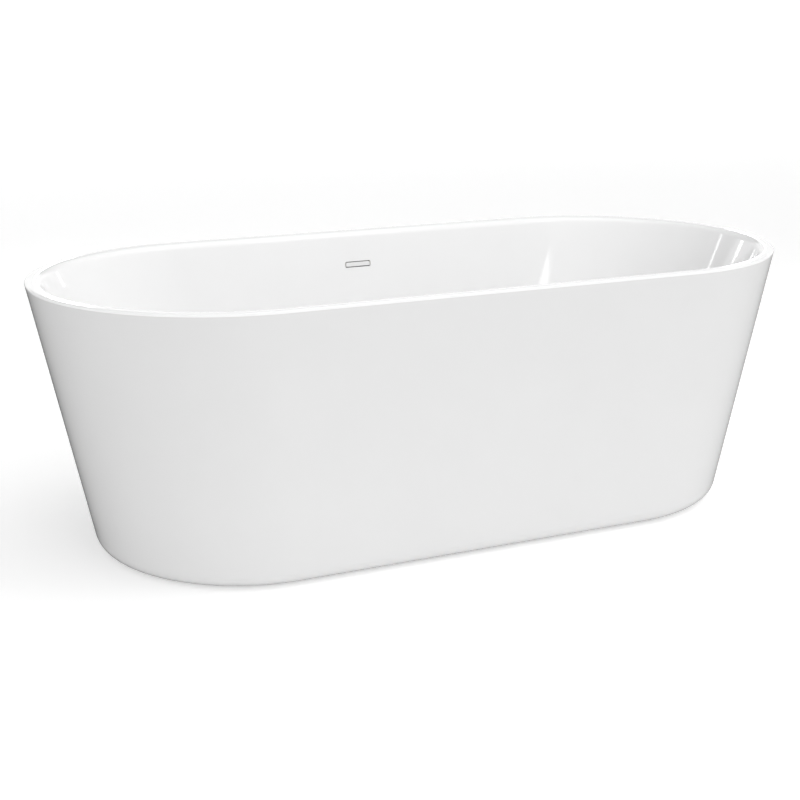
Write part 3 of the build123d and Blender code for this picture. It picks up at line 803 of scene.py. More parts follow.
def make_board():
    outline = rounded_outline(BOARD_HIGH.x, BOARD_HIGH.y, 110 * MM, 24)
    board = prism("board_panel", outline, BOARD_LOW.z, BOARD_HIGH.z)
    round_edges(board, 1 * MM, 2, 60)
    holes = [disc("drain_way", 62 * MM, BOARD_LOW.z - TUBE, BOARD_HIGH.z + TUBE)]
    pilot = rod("pilot", 2.5 * MM, BOARD_LOW.z - TUBE, BOARD_LOW.z + 11 * MM, 0, 24)
    holes += copies(pilot, [at(x, y) for x, y in screw_places()])
    cut(board, join(holes, "board_holes"))
    smooth(board)
    return finish_piece(board, coated_board, "bath", "board", "base_board")


def square_tube(name, half_length):
    """A hollow square tube along X with rounded corners, centred on the axis."""
    tube = box(name, (-half_length, -TUBE / 2, -TUBE / 2), (half_length, TUBE / 2, TUBE / 2))
    edit(tube, "EDGE")
    pick(tube, "edges", lambda e: abs(e.verts[0].co.x - e.verts[1].co.x) > TUBE)
    bpy.ops.mesh.bevel(offset=TUBE_CORNER, segments=5)
    bpy.ops.mesh.select_mode(type="FACE")
    pick(tube, "faces", lambda f: abs(f.normal.x) > 0.9)
    bpy.ops.mesh.inset(thickness=TUBE_WALL, use_even_offset=True)
    bpy.ops.mesh.bridge_edge_loops()
    leave_edit()
    return face_outwards(tube)


def weld_bead(length):
    """A rippled bead of weld along X, a ripple every 1.8 mm."""
    ripple = 1.8 * MM
    profile = [(0, 0)]
    for step in range(int(length / ripple)):
        profile += [(1.7 * MM, (step + 0.25) * ripple), (2.1 * MM, (step + 0.7) * ripple)]
    profile.append((0, length))
    bead = lathe("weld_bead", profile, 20)
    return moved(bead, at(-length / 2, 0, 0, 90, "Y"))


def make_rails():
    for node, side in (("frame_rail_front", -1), ("frame_rail_back", 1)):
        name = node.replace("frame_", "") + "_tube"
        rail = moved(square_tube(name, RAIL_HIGH.x), at(0, 0, BOARD_LOW.z - TUBE / 2))
        hole = rod("hole", 2.9 * MM, RAIL_LOW.z - TUBE, RAIL_HIGH.z + TUBE, 0, 32)
        cut(rail, join(copies(hole, [at(x) for x in SCREW_X]), "rail_holes"))
        beads = copies(weld_bead(TUBE - 2 * MM),
                       [at(x, y, RAIL_LOW.z + 1 * MM) for x in (-CROSSBAR_X, CROSSBAR_X)
                        for y in (-TUBE / 2 - 0.2 * MM, TUBE / 2 + 0.2 * MM)])
        rail = moved(join([rail] + beads, rail.name), at(0, side * RAIL_Y))
        smooth(rail)
        finish_piece(rail, powder_coat, "bath", "frame_steel", node)


def make_crossbars():
    for node, side in (("frame_crossbar_left", -1), ("frame_crossbar_right", 1)):
        half_length = CROSSBAR_HIGH.y
        bar = moved(square_tube(node.replace("frame_", "") + "_tube", half_length), at(0, 0, 0, 90))
        moved(bar, at(0, 0, CROSSBAR_LOW.z + TUBE / 2))
        hole = rod("hole", 6.4 * MM, CROSSBAR_LOW.z - TUBE, CROSSBAR_HIGH.z + TUBE, 0, 48)
        small = rod("small", 2 * MM, CROSSBAR_LOW.z + TUBE / 2, CROSSBAR_HIGH.z + TUBE, 0, 24)
        holes = copies(hole, [at(0, -FOOT_Y), at(0, FOOT_Y)])
        holes += copies(small, [at(0, -BRACKET_SCREW_Y), at(0, BRACKET_SCREW_Y)])
        cut(bar, join(holes, "crossbar_holes"))
        moved(bar, at(side * CROSSBAR_X))
        smooth(bar)
        finish_piece(bar, powder_coat, "bath", "frame_steel", node)


def tube_cap():
    """A push-in cap with a softly rounded cover and ribbed spigot, closing an end that faces +X at x = 0."""
    inside = TUBE / 2 - TUBE_WALL - 0.1 * MM
    cap = box("cap", (-12 * MM, -inside, -inside), (0.5 * MM, inside, inside))
    cap_hole = inside - 2 * MM
    cut(cap, box("hollow", (-15 * MM, -cap_hole, -cap_hole), (-1 * MM, cap_hole, cap_hole)))
    round_edges(cap, 0.5 * MM, 2)
    cover = box("cover", (0, -TUBE / 2, -TUBE / 2), (2 * MM, TUBE / 2, TUBE / 2))
    edit(cover, "EDGE")
    pick(cover, "edges", lambda e: abs(e.verts[0].co.x - e.verts[1].co.x) > MM)
    bpy.ops.mesh.bevel(offset=TUBE_CORNER, segments=6)
    pick(cover, "edges", lambda e: all(v.co.x > 1.9 * MM for v in e.verts))
    bpy.ops.mesh.bevel(offset=1.2 * MM, segments=4)
    leave_edit()
    return cut(cap, cover, "UNION")


def make_caps():
    rail_z, crossbar_z = BOARD_LOW.z - TUBE / 2, CROSSBAR_LOW.z + TUBE / 2
    rail_ends = [at(side * RAIL_HIGH.x, y, rail_z, 0 if side > 0 else 180)
                 for side in (-1, 1) for y in (-RAIL_Y, RAIL_Y)]
    crossbar_ends = [at(x, side * CROSSBAR_HIGH.y, crossbar_z, 90 * side)
                     for side in (-1, 1) for x in (-CROSSBAR_X, CROSSBAR_X)]
    for node, ends in (("rail_end_caps", rail_ends), ("crossbar_end_caps", crossbar_ends)):
        caps = join(copies(tube_cap(), ends), node.replace("_end", ""))
        smooth(caps)
        finish_piece(caps, black_plastic, "bath", "black_plastic", node)


def make_screw(name, radius, pitch, length, head_radius, head):
    """A pan head screw that points up from z = 0, its head below, with a cross recess."""
    shank = threaded_rod(name, radius, pitch, 0.2 * MM, length - 2 * MM, 20)
    tip = lathe("tip", [(0, length - 2.3 * MM), (radius * 0.62, length - 2.3 * MM), (0, length)], 20)
    cut(shank, tip, "UNION")
    flat = [(0, 0.4 * MM), (radius * 0.8, 0.4 * MM), (radius * 0.8, 0), (head_radius - 0.2 * MM, 0)]
    side = arc(head_radius - head * 0.6, -head * 0.4, head * 0.6, 0, -90, 4)
    top = lathe("head", flat + [(head_radius, -0.3 * MM)] + side + [(0, -head)], 40)
    cut(shank, top, "UNION")
    for turn in (0, 90):
        size = head_radius * 0.6
        blade = box("blade", (-size, -0.5 * MM, -head - MM), (size, 0.5 * MM, -head + 1.6 * MM))
        cut(shank, moved(blade, at(0, 0, 0, turn)))
    return shank


def make_board_screws():
    screw = make_screw("screw", 2.5 * MM, 2 * MM, 35.5 * MM, 5 * MM, 3 * MM)
    screws = join(copies(screw, [at(x, y, RAIL_LOW.z) for x, y in screw_places()]), "panel_screws")
    smooth(screws, 40)
    return finish_piece(screws, zinc_plate, "bath", "zinc_steel", "board_screws")


def make_nuts():
    height = 10 * MM
    nut = hexagon("nut", NUT_FLATS, 0, height, 1.5 * MM)
    bore = lathe("bore", [(0, -MM), (8.05 * MM, -MM), (6.05 * MM, MM), (6.05 * MM, height - MM),
                          (8.05 * MM, height + MM), (0, height + MM)])
    cut(nut, bore)
    smooth(nut, 30)
    for node, low in (("weld_nuts", CROSSBAR_HIGH.z), ("lock_nuts", CROSSBAR_LOW.z - height)):
        source = nut.copy()
        source.data = nut.data.copy()
        places = [at(x * CROSSBAR_X, y * FOOT_Y, low) for x, y in FEET]
        nuts = join(copies(source, places), node.replace("_", "_hex_"))
        finish_piece(nuts, zinc_plate, "bath", "zinc_steel", node)
    bpy.data.objects.remove(nut)


def make_studs():
    low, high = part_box("foot_stud_1")
    stud = threaded_rod("stud", THREAD, 1.75 * MM, low.z, high.z, 24)
    envelope = lathe("envelope", [(0, low.z - MM), (THREAD + MM, low.z - MM), (THREAD + MM, high.z - 2 * MM),
                                  (THREAD - 1.2 * MM, high.z), (0, high.z)])
    cut(stud, envelope, "INTERSECT")
    cut(stud, hexagon("grip", NUT_FLATS, 17.05 * MM, 26.05 * MM, 1.2 * MM), "UNION")
    smooth(stud, 30)
    places = [at(x * CROSSBAR_X, y * FOOT_Y) for x, y in FEET]
    for number, (copy, (x, y)) in enumerate(zip(copies(stud, places),
                                                FEET), start=1):
        name_piece(copy, f"threaded_stud_{number}")
        finish_piece(copy, zinc_plate, f"stud_{number}", "zinc_steel", f"foot_stud_{number}")


def make_foot_pads():
    """Moulded pads: a ribbed cup around the stud's socket on a grooved non-slip sole."""
    sole, rim, boss, top = 1.6 * MM, 25 * MM, 12 * MM, 17 * MM
    socket = 6.05 * MM
    profile = [(0, 0)]
    for ring in (6, 11, 16, 20.5):  # grooves in the sole
        profile += [(ring * MM, 0), (ring * MM, 0.8 * MM)]
        profile += [((ring + 1.5) * MM, 0.8 * MM), ((ring + 1.5) * MM, 0)]
    profile += arc(rim - MM, MM, MM, -90, 0)
    profile += [(rim, 4.5 * MM), (rim - 1.5 * MM, 6 * MM), (rim - 3 * MM, 6 * MM)]
    profile += [(rim - 3.4 * MM, 4 * MM), (boss + 0.6 * MM, 4 * MM), (boss, 4.8 * MM)]
    profile += arc(boss - 1.5 * MM, top - 1.5 * MM, 1.5 * MM, 0, 90)
    profile += [(socket + 0.6 * MM, top), (socket, top - 0.6 * MM), (socket, 6 * MM), (0, 6 * MM)]
    pad = lathe("pad", profile, 96)
    rib = prism("rib", [(boss - MM, sole), (rim - 2 * MM, sole),
                        (rim - 2 * MM, 5.6 * MM), (boss - MM, 14.5 * MM)],
                -0.9 * MM, 0.9 * MM, "X")
    cut(pad, join(copies(rib, [at(0, 0, 0, 45 * n) for n in range(8)]), "ribs"), "UNION")
    round_edges(pad, 0.25 * MM, 1, 60)
    smooth(pad)
    places = [at(x * CROSSBAR_X, y * FOOT_Y) for x, y in FEET]
    for number, (copy, (x, y)) in enumerate(zip(copies(pad, places),
                                                FEET), start=1):
        name_piece(copy, f"ribbed_pad_{number}")
        finish_piece(copy, black_plastic, f"pad_{number}", "black_plastic", f"foot_pad_{number}")


def facing(piece, name, slot, material, node):
    """Stands four copies at the feet; the ones in front are turned to face the other way."""
    places = [at(x * CROSSBAR_X, 0, 0, 0 if y > 0 else 180) for x, y in FEET]
    for number, copy in enumerate(copies(piece, places), start=1):
        name_piece(copy, f"{name}_{number}")
        finish_piece(copy, material, "bath", slot, f"{node}_{number}")


def make_blocks():
    """Softwood blocks bonded inside the skirt, with chamfered edges and a screw hole."""
    low, high = BLOCK_LOW, BLOCK_HIGH
    lean = (high.z - low.z) * math.tan(LEAN_SIDE)
    outline = [(low.y, low.z), (high.y - lean, low.z), (high.y, high.z), (low.y, high.z)]
    block = prism("block", outline, low.x - CROSSBAR_X, high.x - CROSSBAR_X, "X")
    round_edges(block, 1 * MM, 2)
    hole = moved(rod("hole", 2 * MM, 0, 15 * MM, 0, 24), at(0, low.y - MM, BLOCK_SCREW_Z, -90, "X"))
    cut(block, hole)
    smooth(block)
    facing(block, "softwood_block", "block_wood", softwood, "skirt_block")


def make_brackets():
    """Steel strip bent to a right angle, with a screw hole in each leg."""
    low, high = BRACKET_LOW, BRACKET_HIGH
    thickness, bend = BRACKET_THICKNESS, 1.5 * MM
    outer = bend + thickness
    outline = [(low.y, low.z), (high.y - outer, low.z)]
    outline += arc(high.y - outer, low.z + outer, outer, -90, 0, 8)[1:]
    outline += [(high.y, high.z), (high.y - thickness, high.z)]
    outline += arc(high.y - outer, low.z + outer, bend, 0, -90, 8)[:]
    outline += [(low.y, low.z + thickness)]
    bracket = prism("bracket", outline, low.x - CROSSBAR_X, high.x - CROSSBAR_X, "X")
    edit(bracket, "EDGE")
    corners = ((low.y, "y"), (high.z, "z"))
    pick(bracket, "edges", lambda e: abs(e.calc_length() - thickness) < MM / 10
         and any(all(abs(getattr(v.co, axis) - value) < MM / 10 for v in e.verts) for value, axis in corners))
    bpy.ops.mesh.bevel(offset=4 * MM, segments=5)
    leave_edit()
    round_edges(bracket, 0.3 * MM, 1, 50)
    hole = rod("hole", 2.2 * MM, low.z - TUBE, low.z + TUBE, 0, 32)
    cut(bracket, moved(hole, at(0, BRACKET_SCREW_Y)))
    hole = rod("hole", 2.2 * MM, -9 * MM, 9 * MM, 0, 32)
    cut(bracket, moved(hole, at(0, high.y, BLOCK_SCREW_Z, 90, "X")))
    smooth(bracket)
    facing(bracket, "bent_bracket", "zinc_steel", zinc_plate, "skirt_bracket")


def make_bracket_screws():
    screw = make_screw("screw", 2 * MM, 1.4 * MM, 17 * MM, 4 * MM, 2.5 * MM)
    down = at(0, 0, 0, 180, "X")
    places = []
    for x, y in FEET:
        foot = at(x * CROSSBAR_X, 0, 0, 0 if y > 0 else 180)
        places.append(foot @ at(0, BRACKET_SCREW_Y, BRACKET_LOW.z + BRACKET_THICKNESS) @ down)
        places.append(foot @ at(0, BRACKET_HIGH.y - BRACKET_THICKNESS, BLOCK_SCREW_Z, -90, "X"))
    screws = join(copies(screw, places), "skirt_fixing_screws")
    smooth(screws, 40)
    return finish_piece(screws, zinc_plate, "bath", "zinc_steel", "bracket_screws")


# ---------------------------------------------------------------- waste
DRAIN_THREAD = 23.9 * MM
DRAIN_BORE = 20.5 * MM
FLANGE_LOW_Z = FLOOR_Z - 1.5 * MM
FLANGE_TOP_Z = FLOOR_Z + 1.5 * MM
FLANGE_RADIUS = 35.9 * MM
SEAT_RADIUS = 30.9 * MM
TUBE_END_Z = 98 * MM
BAR_Z = 105 * MM
BAR_THICKNESS = 5 * MM
CARTRIDGE = 9 * MM
WASTE_LOW_Z = 62 * MM
WASTE_TOP_Z = 129.5 * MM
WASTE_RADIUS = 28 * MM
WASTE_BORE = 24 * MM
NECK_RADIUS = 22 * MM
PIPE_BORE = 17.5 * MM
HOSE_RADIUS = 9 * MM
HOSE_BORE = 7.1 * MM
HOSE_LEVEL_Z = 80 * MM
HOSE_BEND = 70 * MM
HOSE_CUFF = 14 * MM
HOSE_START_Y = 42 * MM


def spigot(name, length):
    """A hose spigot along Z from zero, with three barbs near its tip."""
    outer = HOSE_BORE - 0.1 * MM
    profile = [(outer - 1.9 * MM, 0), (outer, 0)]
    for barb in (11, 8, 5):
        top = length - barb * MM
        profile += [(outer, top), (outer - 0.5 * MM, top + 0.4 * MM), (outer, top + 2.4 * MM)]
    profile += [(outer - 0.6 * MM, length), (outer - 1.9 * MM, length)]
    return lathe(name, profile, 48)


def make_drain_flange():
    """Chrome flange with a polished seat, a threaded tube below and a cross that holds the cartridge."""
    thread = threaded_rod("waste_flange", DRAIN_THREAD, 2.31 * MM, TUBE_END_Z, FLANGE_LOW_Z + 1 * MM, 72)
    lead = lathe("lead", [(0, TUBE_END_Z - MM), (DRAIN_THREAD - 2 * MM, TUBE_END_Z - MM),
                          (DRAIN_THREAD - 1.2 * MM, TUBE_END_Z), (DRAIN_THREAD + MM, TUBE_END_Z + 2.2 * MM),
                          (DRAIN_THREAD + MM, FLANGE_TOP_Z), (0, FLANGE_TOP_Z)], 96)
    cut(thread, lead, "INTERSECT")
    profile = [(0, FLANGE_LOW_Z), (FLANGE_RADIUS - 0.4 * MM, FLANGE_LOW_Z),
               (FLANGE_RADIUS, FLANGE_LOW_Z + 0.4 * MM)]
    profile += arc(FLANGE_RADIUS - 2 * MM, FLANGE_TOP_Z - 2 * MM, 2 * MM, 0, 90, 8)
    profile += arc(SEAT_RADIUS + 0.6 * MM, FLANGE_TOP_Z - 0.6 * MM, 0.6 * MM, 90, 180, 4)
    profile += [(SEAT_RADIUS, FLANGE_TOP_Z - 1.6 * MM), (SEAT_RADIUS - 0.4 * MM, FLANGE_TOP_Z - 2 * MM),
                (0, FLANGE_TOP_Z - 2 * MM)]
    cut(thread, lathe("plate", profile, 128), "UNION")
    bore = [(0, TUBE_END_Z - MM), (DRAIN_BORE, TUBE_END_Z - MM), (DRAIN_BORE, FLANGE_TOP_Z - 3.2 * MM)]
    bore += arc(DRAIN_BORE + 1.2 * MM, FLANGE_TOP_Z - 3.2 * MM, 1.2 * MM, 180, 90, 5)
    cut(thread, lathe("bore", bore + [(DRAIN_BORE + 1.2 * MM, FLANGE_TOP_Z), (0, FLANGE_TOP_Z)], 96))
    reach = DRAIN_BORE + 1 * MM
    for size in ((reach, 3 * MM), (3 * MM, reach)):
        bar = box("bar", (-size[0], -size[1], BAR_Z), (size[0], size[1], BAR_Z + BAR_THICKNESS), 1 * MM)
        cut(thread, bar, "UNION")
    hub = lathe("hub", [(0, BAR_Z), (11 * MM, BAR_Z), (12 * MM, BAR_Z + MM), (12 * MM, BAR_Z + 4.6 * MM),
                        (11.6 * MM, BAR_Z + 5 * MM), (0, BAR_Z + 5 * MM)], 64)
    cut(thread, hub, "UNION")
    cut(thread, rod("hole", CARTRIDGE + 0.1 * MM, BAR_Z - TUBE, BAR_Z + TUBE, 0, 64))
    smooth(thread, 30)
    return finish_piece(thread, chrome, "bath", "drain_chrome", "drain_flange")


def make_cartridge():
    """Brass case for the spring: knurled shoulder, slotted foot and a bored guide for the stem."""
    low, top = 84 * MM, 128 * MM
    shoulder, bore, guide = 12 * MM, 7 * MM, 4.05 * MM
    profile = [(0, low), (CARTRIDGE - MM, low), (CARTRIDGE, low + MM), (CARTRIDGE, BAR_Z + BAR_THICKNESS)]
    profile += [(shoulder - 0.5 * MM, BAR_Z + BAR_THICKNESS), (shoulder, BAR_Z + BAR_THICKNESS + 0.5 * MM)]
    profile += [(shoulder, 112.5 * MM), (shoulder - 0.5 * MM, 113 * MM), (CARTRIDGE, 113 * MM)]
    profile += [(CARTRIDGE, top - 1.5 * MM), (CARTRIDGE - 1.5 * MM, top), (guide + 0.4 * MM, top)]
    profile += [(guide, top - 0.4 * MM), (guide, top - 4 * MM), (bore, top - 4 * MM), (bore, low + 4 * MM)]
    case = lathe("spring_cartridge", profile + [(0, low + 4 * MM)], 72)
    notch = rod("notch", 0.5 * MM, BAR_Z + BAR_THICKNESS + 0.6 * MM, 112.4 * MM, 0, 8)
    knurl = [at(0, 0, 0, 15 * n) @ at(shoulder + 0.15 * MM) for n in range(24)]
    cut(case, join(copies(notch, knurl), "knurl"))
    cut(case, box("slot", (-7 * MM, -0.8 * MM, low - MM), (7 * MM, 0.8 * MM, low + 1.6 * MM)))
    smooth(case, 30)
    return finish_piece(case, brass, "bath", "brass_cartridge", "plug_cartridge")


def make_plug():
    """The push plug: a shallow domed cap, its seal and the stem with its collar."""
    low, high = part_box("plug_cap")
    radius, crown = high.x, 0.7 * MM
    dome = [(radius * share, high.z - crown * share**2) for share in (0, 0.3, 0.5, 0.7, 0.86)]
    profile = [(0, low.z), (radius - 1.2 * MM, low.z), (radius - 0.5 * MM, low.z + 0.3 * MM)]
    profile += arc(radius - 2.2 * MM, high.z - crown - 2.2 * MM, 2.2 * MM, -8, 84, 10)
    cap = lathe("domed_plug_cap", profile + dome[::-1], 128)
    smooth(cap, 30)
    finish_piece(cap, chrome, "plug", "drain_chrome", "plug_cap")

    low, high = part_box("plug_seal")
    inner, lip = high.x - 5 * MM, high.z - low.z
    profile = [(inner, low.z + 0.3 * MM), (inner + 0.3 * MM, low.z), (high.x - 1.4 * MM, low.z)]
    profile += arc(high.x - 0.8 * MM, low.z + 0.8 * MM, 0.8 * MM, -90, 60, 6)
    profile += [(high.x - 1.6 * MM, low.z + lip * 0.75), (high.x - 1.6 * MM, high.z), (inner, high.z)]
    seal = lathe("plug_sealing_ring", profile, 128)
    smooth(seal, 30)
    finish_piece(seal, rubber, "plug", "rubber_gasket", "plug_seal")

    low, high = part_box("plug_stem")
    collar_top, stem_radius = 123.95 * MM, 4 * MM
    profile = [(0, low.z), (high.x - 0.5 * MM, low.z), (high.x, low.z + 0.5 * MM)]
    profile += [(high.x, collar_top - 0.5 * MM), (high.x - 0.5 * MM, collar_top), (stem_radius, collar_top)]
    for ring in (8, 14):  # grooves for the cartridge's detent
        z = collar_top + ring * MM
        profile += [(stem_radius, z), (stem_radius - 0.4 * MM, z + 0.4 * MM), (stem_radius, z + 0.8 * MM)]
    stem = lathe("plug_push_stem", profile + [(stem_radius, high.z), (0, high.z)], 48)
    smooth(stem, 30)
    finish_piece(stem, brass, "plug", "brass_cartridge", "plug_stem")


def make_spring():
    """The plug's return spring, with its top on the stem's collar."""
    low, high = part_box("plug_spring")
    wire_radius, turns, closed_height = 0.7 * MM, 4, 7 * MM
    start, end = low.z + wire_radius, high.z - wire_radius
    ring = [(r, 0, z) for r, z in arc(high.x - wire_radius, start, wire_radius, 0, 330, 11)]
    spring = wire("coiled_return_spring", ring)
    modify(spring, "SCREW", axis="Z", angle=2 * math.pi, steps=40, render_steps=40,
           screw_offset=(end - start) / turns, iterations=turns)
    edit(spring)
    bpy.ops.mesh.select_all(action="SELECT")
    bpy.ops.mesh.fill_holes(sides=0)
    leave_edit()
    face_outwards(spring)
    smooth(spring, 40)
    finish_piece(spring, spring_steel, "plug", "spring_steel", "plug_spring")
    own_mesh(spring)


def make_drain_gaskets():
    for side in ("upper", "lower"):
        node, name = f"drain_{side}_gasket", f"{side}_sealing_washer"
        low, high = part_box(node)
        inner, edge = 24.4 * MM, 0.5 * MM
        profile = [(inner, low.z + edge), (inner + edge, low.z),
                   (high.x - edge, low.z), (high.x, low.z + edge),
                   (high.x, high.z - edge), (high.x - edge, high.z),
                   (inner + edge, high.z), (inner, high.z - edge)]
        washer = lathe(name, profile, 96)
        smooth(washer, 50)
        finish_piece(washer, rubber, "bath", "rubber_gasket", node)


def make_waste_body():
    """Moulded cup under the drain: ribs below its collar, a threaded neck and a barbed overflow inlet."""
    collar, collar_z = 40 * MM, WASTE_TOP_Z - 4 * MM
    neck_z = WASTE_LOW_Z - 14 * MM
    floor_z = WASTE_LOW_Z + 6 * MM
    profile = [(PIPE_BORE, floor_z), (WASTE_BORE - 3 * MM, floor_z)]
    profile += arc(WASTE_BORE - 3 * MM, floor_z + 3 * MM, 3 * MM, -90, 0, 6)[1:]
    profile += [(WASTE_BORE, WASTE_TOP_Z), (collar - 0.6 * MM, WASTE_TOP_Z), (collar, WASTE_TOP_Z - 0.6 * MM)]
    profile += [(collar, collar_z + 0.6 * MM), (collar - 0.6 * MM, collar_z)]
    profile += [(WASTE_RADIUS + 2 * MM, collar_z)]
    profile += arc(WASTE_RADIUS + 2 * MM, collar_z - 2 * MM, 2 * MM, 90, 180, 4)[1:]
    profile += arc(WASTE_RADIUS - 4 * MM, WASTE_LOW_Z + 4 * MM, 4 * MM, 0, -90, 8)
    profile += [(NECK_RADIUS - 0.6 * MM, WASTE_LOW_Z)]
    for turn in range(4):  # the neck's thread, as rounded ridges
        top = WASTE_LOW_Z - 1.5 * MM - turn * 3 * MM
        profile += [(NECK_RADIUS - 0.6 * MM, top), (NECK_RADIUS, top - 0.8 * MM)]
        profile += [(NECK_RADIUS, top - 1.4 * MM), (NECK_RADIUS - 0.6 * MM, top - 2.2 * MM)]
    profile += [(NECK_RADIUS - 0.6 * MM, neck_z), (19.6 * MM, neck_z), (19.6 * MM, WASTE_LOW_Z + 0.05 * MM),
                (PIPE_BORE, WASTE_LOW_Z + 0.05 * MM)]
    body = lathe("waste_cup", profile, 96)
    rib = prism("rib", [(WASTE_RADIUS - MM, collar_z - 20 * MM), (WASTE_RADIUS + MM, collar_z - 20 * MM),
                        (collar - 2 * MM, collar_z - 1 * MM), (collar - 2 * MM, collar_z + MM),
                        (WASTE_RADIUS - MM, collar_z + MM)], -1.2 * MM, 1.2 * MM, "X")
    cut(body, join(copies(rib, [at(0, 0, 0, 22.5 + 45 * n) for n in range(8)]), "ribs"), "UNION")
    reach = HOSE_START_Y + HOSE_CUFF
    way = disc("way", HOSE_BORE - 1 * MM, 0, 12 * MM, 48)
    cut(body, moved(way, at(0, WASTE_BORE - 3 * MM, HOSE_LEVEL_Z, -90, "X")))
    start = WASTE_BORE + 2 * MM
    inlet = moved(spigot("inlet", reach - start), at(0, start, HOSE_LEVEL_Z, -90, "X"))
    cut(body, inlet, "UNION")
    smooth(body, 30)
    return finish_piece(body, polypropylene, "bath", "waste_plastic", "waste_body")


def make_outlet():
    """The tailpipe, with a chamfered end, and the union nut with its grip ribs."""
    low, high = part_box("outlet_pipe")
    step_z, shank = 40.5 * MM, 19.5 * MM
    profile = [(PIPE_BORE, low.z + 0.6 * MM), (PIPE_BORE + 0.6 * MM, low.z), (high.x - 1.2 * MM, low.z)]
    profile += [(high.x, low.z + 1.5 * MM), (high.x, step_z), (shank, step_z + 0.3 * MM)]
    profile += [(shank, high.z - 0.6 * MM), (shank - 0.6 * MM, high.z), (PIPE_BORE, high.z)]
    pipe = lathe("waste_tailpipe", profile, 96)
    smooth(pipe, 30)
    finish_piece(pipe, polypropylene, "bath", "waste_plastic", "outlet_pipe")

    low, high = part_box("outlet_nut")
    outer, bore = 25.4 * MM, NECK_RADIUS + 0.1 * MM
    profile = [(19.6 * MM, low.z), (outer - MM, low.z), (outer, low.z + MM), (outer, high.z - 2 * MM),
               (outer - MM, high.z), (bore, high.z), (bore, low.z + 2.5 * MM), (19.6 * MM, low.z + 2.5 * MM)]
    nut = lathe("union_nut", profile, 96)
    grip = lathe("grip", [(0, low.z + 0.6 * MM), (1.6 * MM, low.z + 0.6 * MM), (2 * MM, low.z + 1.4 * MM),
                          (2 * MM, high.z - 3 * MM), (1 * MM, high.z - 1.6 * MM), (0, high.z - 1.6 * MM)], 24)
    round_nut = [at(0, 0, 0, 30 * n) @ at(outer - 1 * MM) for n in range(12)]
    cut(nut, join(copies(grip, round_nut), "grips"), "UNION")
    smooth(nut, 35)
    finish_piece(nut, polypropylene, "bath", "waste_plastic", "outlet_nut")


# ---------------------------------------------------------------- overflow
PIN_X = 22 * MM
OVERFLOW_BODY_START = 6 * MM  # behind the basin wall and the gasket
HOSE_DEPTH = OVERFLOW_BODY_START + 9.1 * MM


def in_wall(across=0.0, up=0.0, depth=0.0, turn=0, axis="Z"):
    """A place in the overflow's own frame, whose +Z points out through the sloping basin wall."""
    lean = Matrix.Rotation(-math.pi / 2 - SIDE_SLOPE, 4, "X")
    wall = Matrix.Translation((0, OVERFLOW_Y, OVERFLOW_Z)) @ lean
    return wall @ Matrix.Rotation(math.pi, 4, "Z") @ at(across, up, depth, turn, axis)


def make_overflow_cover():
    """A flat plate with softened edges, held by two pins, with a water gap all round."""
    thickness = 2.5 * MM
    cover = slot_block("overflow_plate", 2 * MM, thickness)
    edit(cover, "EDGE")
    pick(cover, "edges", lambda e: all(v.co.z < -thickness * 0.4 for v in e.verts))
    bpy.ops.mesh.bevel(offset=0.7 * MM, segments=4)
    leave_edit()
    pin = rod("pin", 2.4 * MM, 0.3 * MM, OVERFLOW_BODY_START + 8.5 * MM, 0.5 * MM, 32)
    cut(cover, join(copies(pin, [at(-PIN_X), at(PIN_X)]), "pins"), "UNION")
    moved(cover, in_wall())
    smooth(cover, 30)
    return finish_piece(cover, white_abs, "bath", "overflow_white", "overflow_cover")


def framed_block(name, half_width, half_height, corner, low, high):
    return prism(name, rounded_outline(half_width, half_height, corner, 8), low, high)


def make_overflow_gasket():
    gasket = framed_block("overflow_washer", 46 * MM, 19 * MM, 8 * MM, BASIN_WALL, OVERFLOW_BODY_START)
    inside = framed_block("inside", OVERFLOW_WIDTH / 2 - 1.2 * MM, OVERFLOW_HEIGHT / 2 - 1.2 * MM,
                          OVERFLOW_CORNER, 0, HOSE_DEPTH)
    cut(gasket, inside)
    round_edges(gasket, 0.25 * MM, 2)
    moved(gasket, in_wall())
    smooth(gasket)
    return finish_piece(gasket, rubber, "bath", "rubber_gasket", "overflow_gasket")


def make_overflow_body():
    """The box behind the slot: a ribbed shell with sockets for the pins and a barbed spigot downwards."""
    start, depth = OVERFLOW_BODY_START, 17 * MM
    case = framed_block("overflow_box", 46 * MM, 19 * MM, 8 * MM, start, start + depth)
    edit(case, "EDGE")
    pick(case, "edges", lambda e: all(v.co.z > start + depth - MM / 10 for v in e.verts))
    bpy.ops.mesh.bevel(offset=2 * MM, segments=5)
    leave_edit()
    cut(case, framed_block("inside", 36 * MM, 10 * MM, 5 * MM, start - MM, start + depth - 2 * MM))
    flange = framed_block("flange", 46 * MM, 19 * MM, 8 * MM, start, start + 2.5 * MM)
    step = framed_block("step", 50 * MM, 23 * MM, 10 * MM, start + 2.5 * MM, start + depth + MM)
    cut(step, framed_block("core", 44 * MM, 17 * MM, 6 * MM, start, start + depth + 2 * MM))
    cut(case, step)
    cut(case, flange, "UNION")
    socket = lathe("socket", [(2.45 * MM, start + 6.5 * MM), (4.4 * MM, start + 6.5 * MM),
                              (4.4 * MM, start + depth - 1 * MM), (2.45 * MM, start + depth - 1 * MM)], 32)
    cut(case, join(copies(socket, [at(-PIN_X), at(PIN_X)]), "sockets"), "UNION")
    way = moved(disc("way", 5.1 * MM, 0, 30 * MM, 48), at(0, -4 * MM, HOSE_DEPTH, 90, "X"))
    cut(case, way)
    length = 19 * MM + HOSE_CUFF - 14 * MM
    down = moved(spigot("down", length), at(0, -14 * MM, HOSE_DEPTH, 90, "X"))
    cut(case, down, "UNION")
    moved(case, in_wall())
    smooth(case, 35)
    return finish_piece(case, polypropylene, "bath", "waste_plastic", "overflow_body")


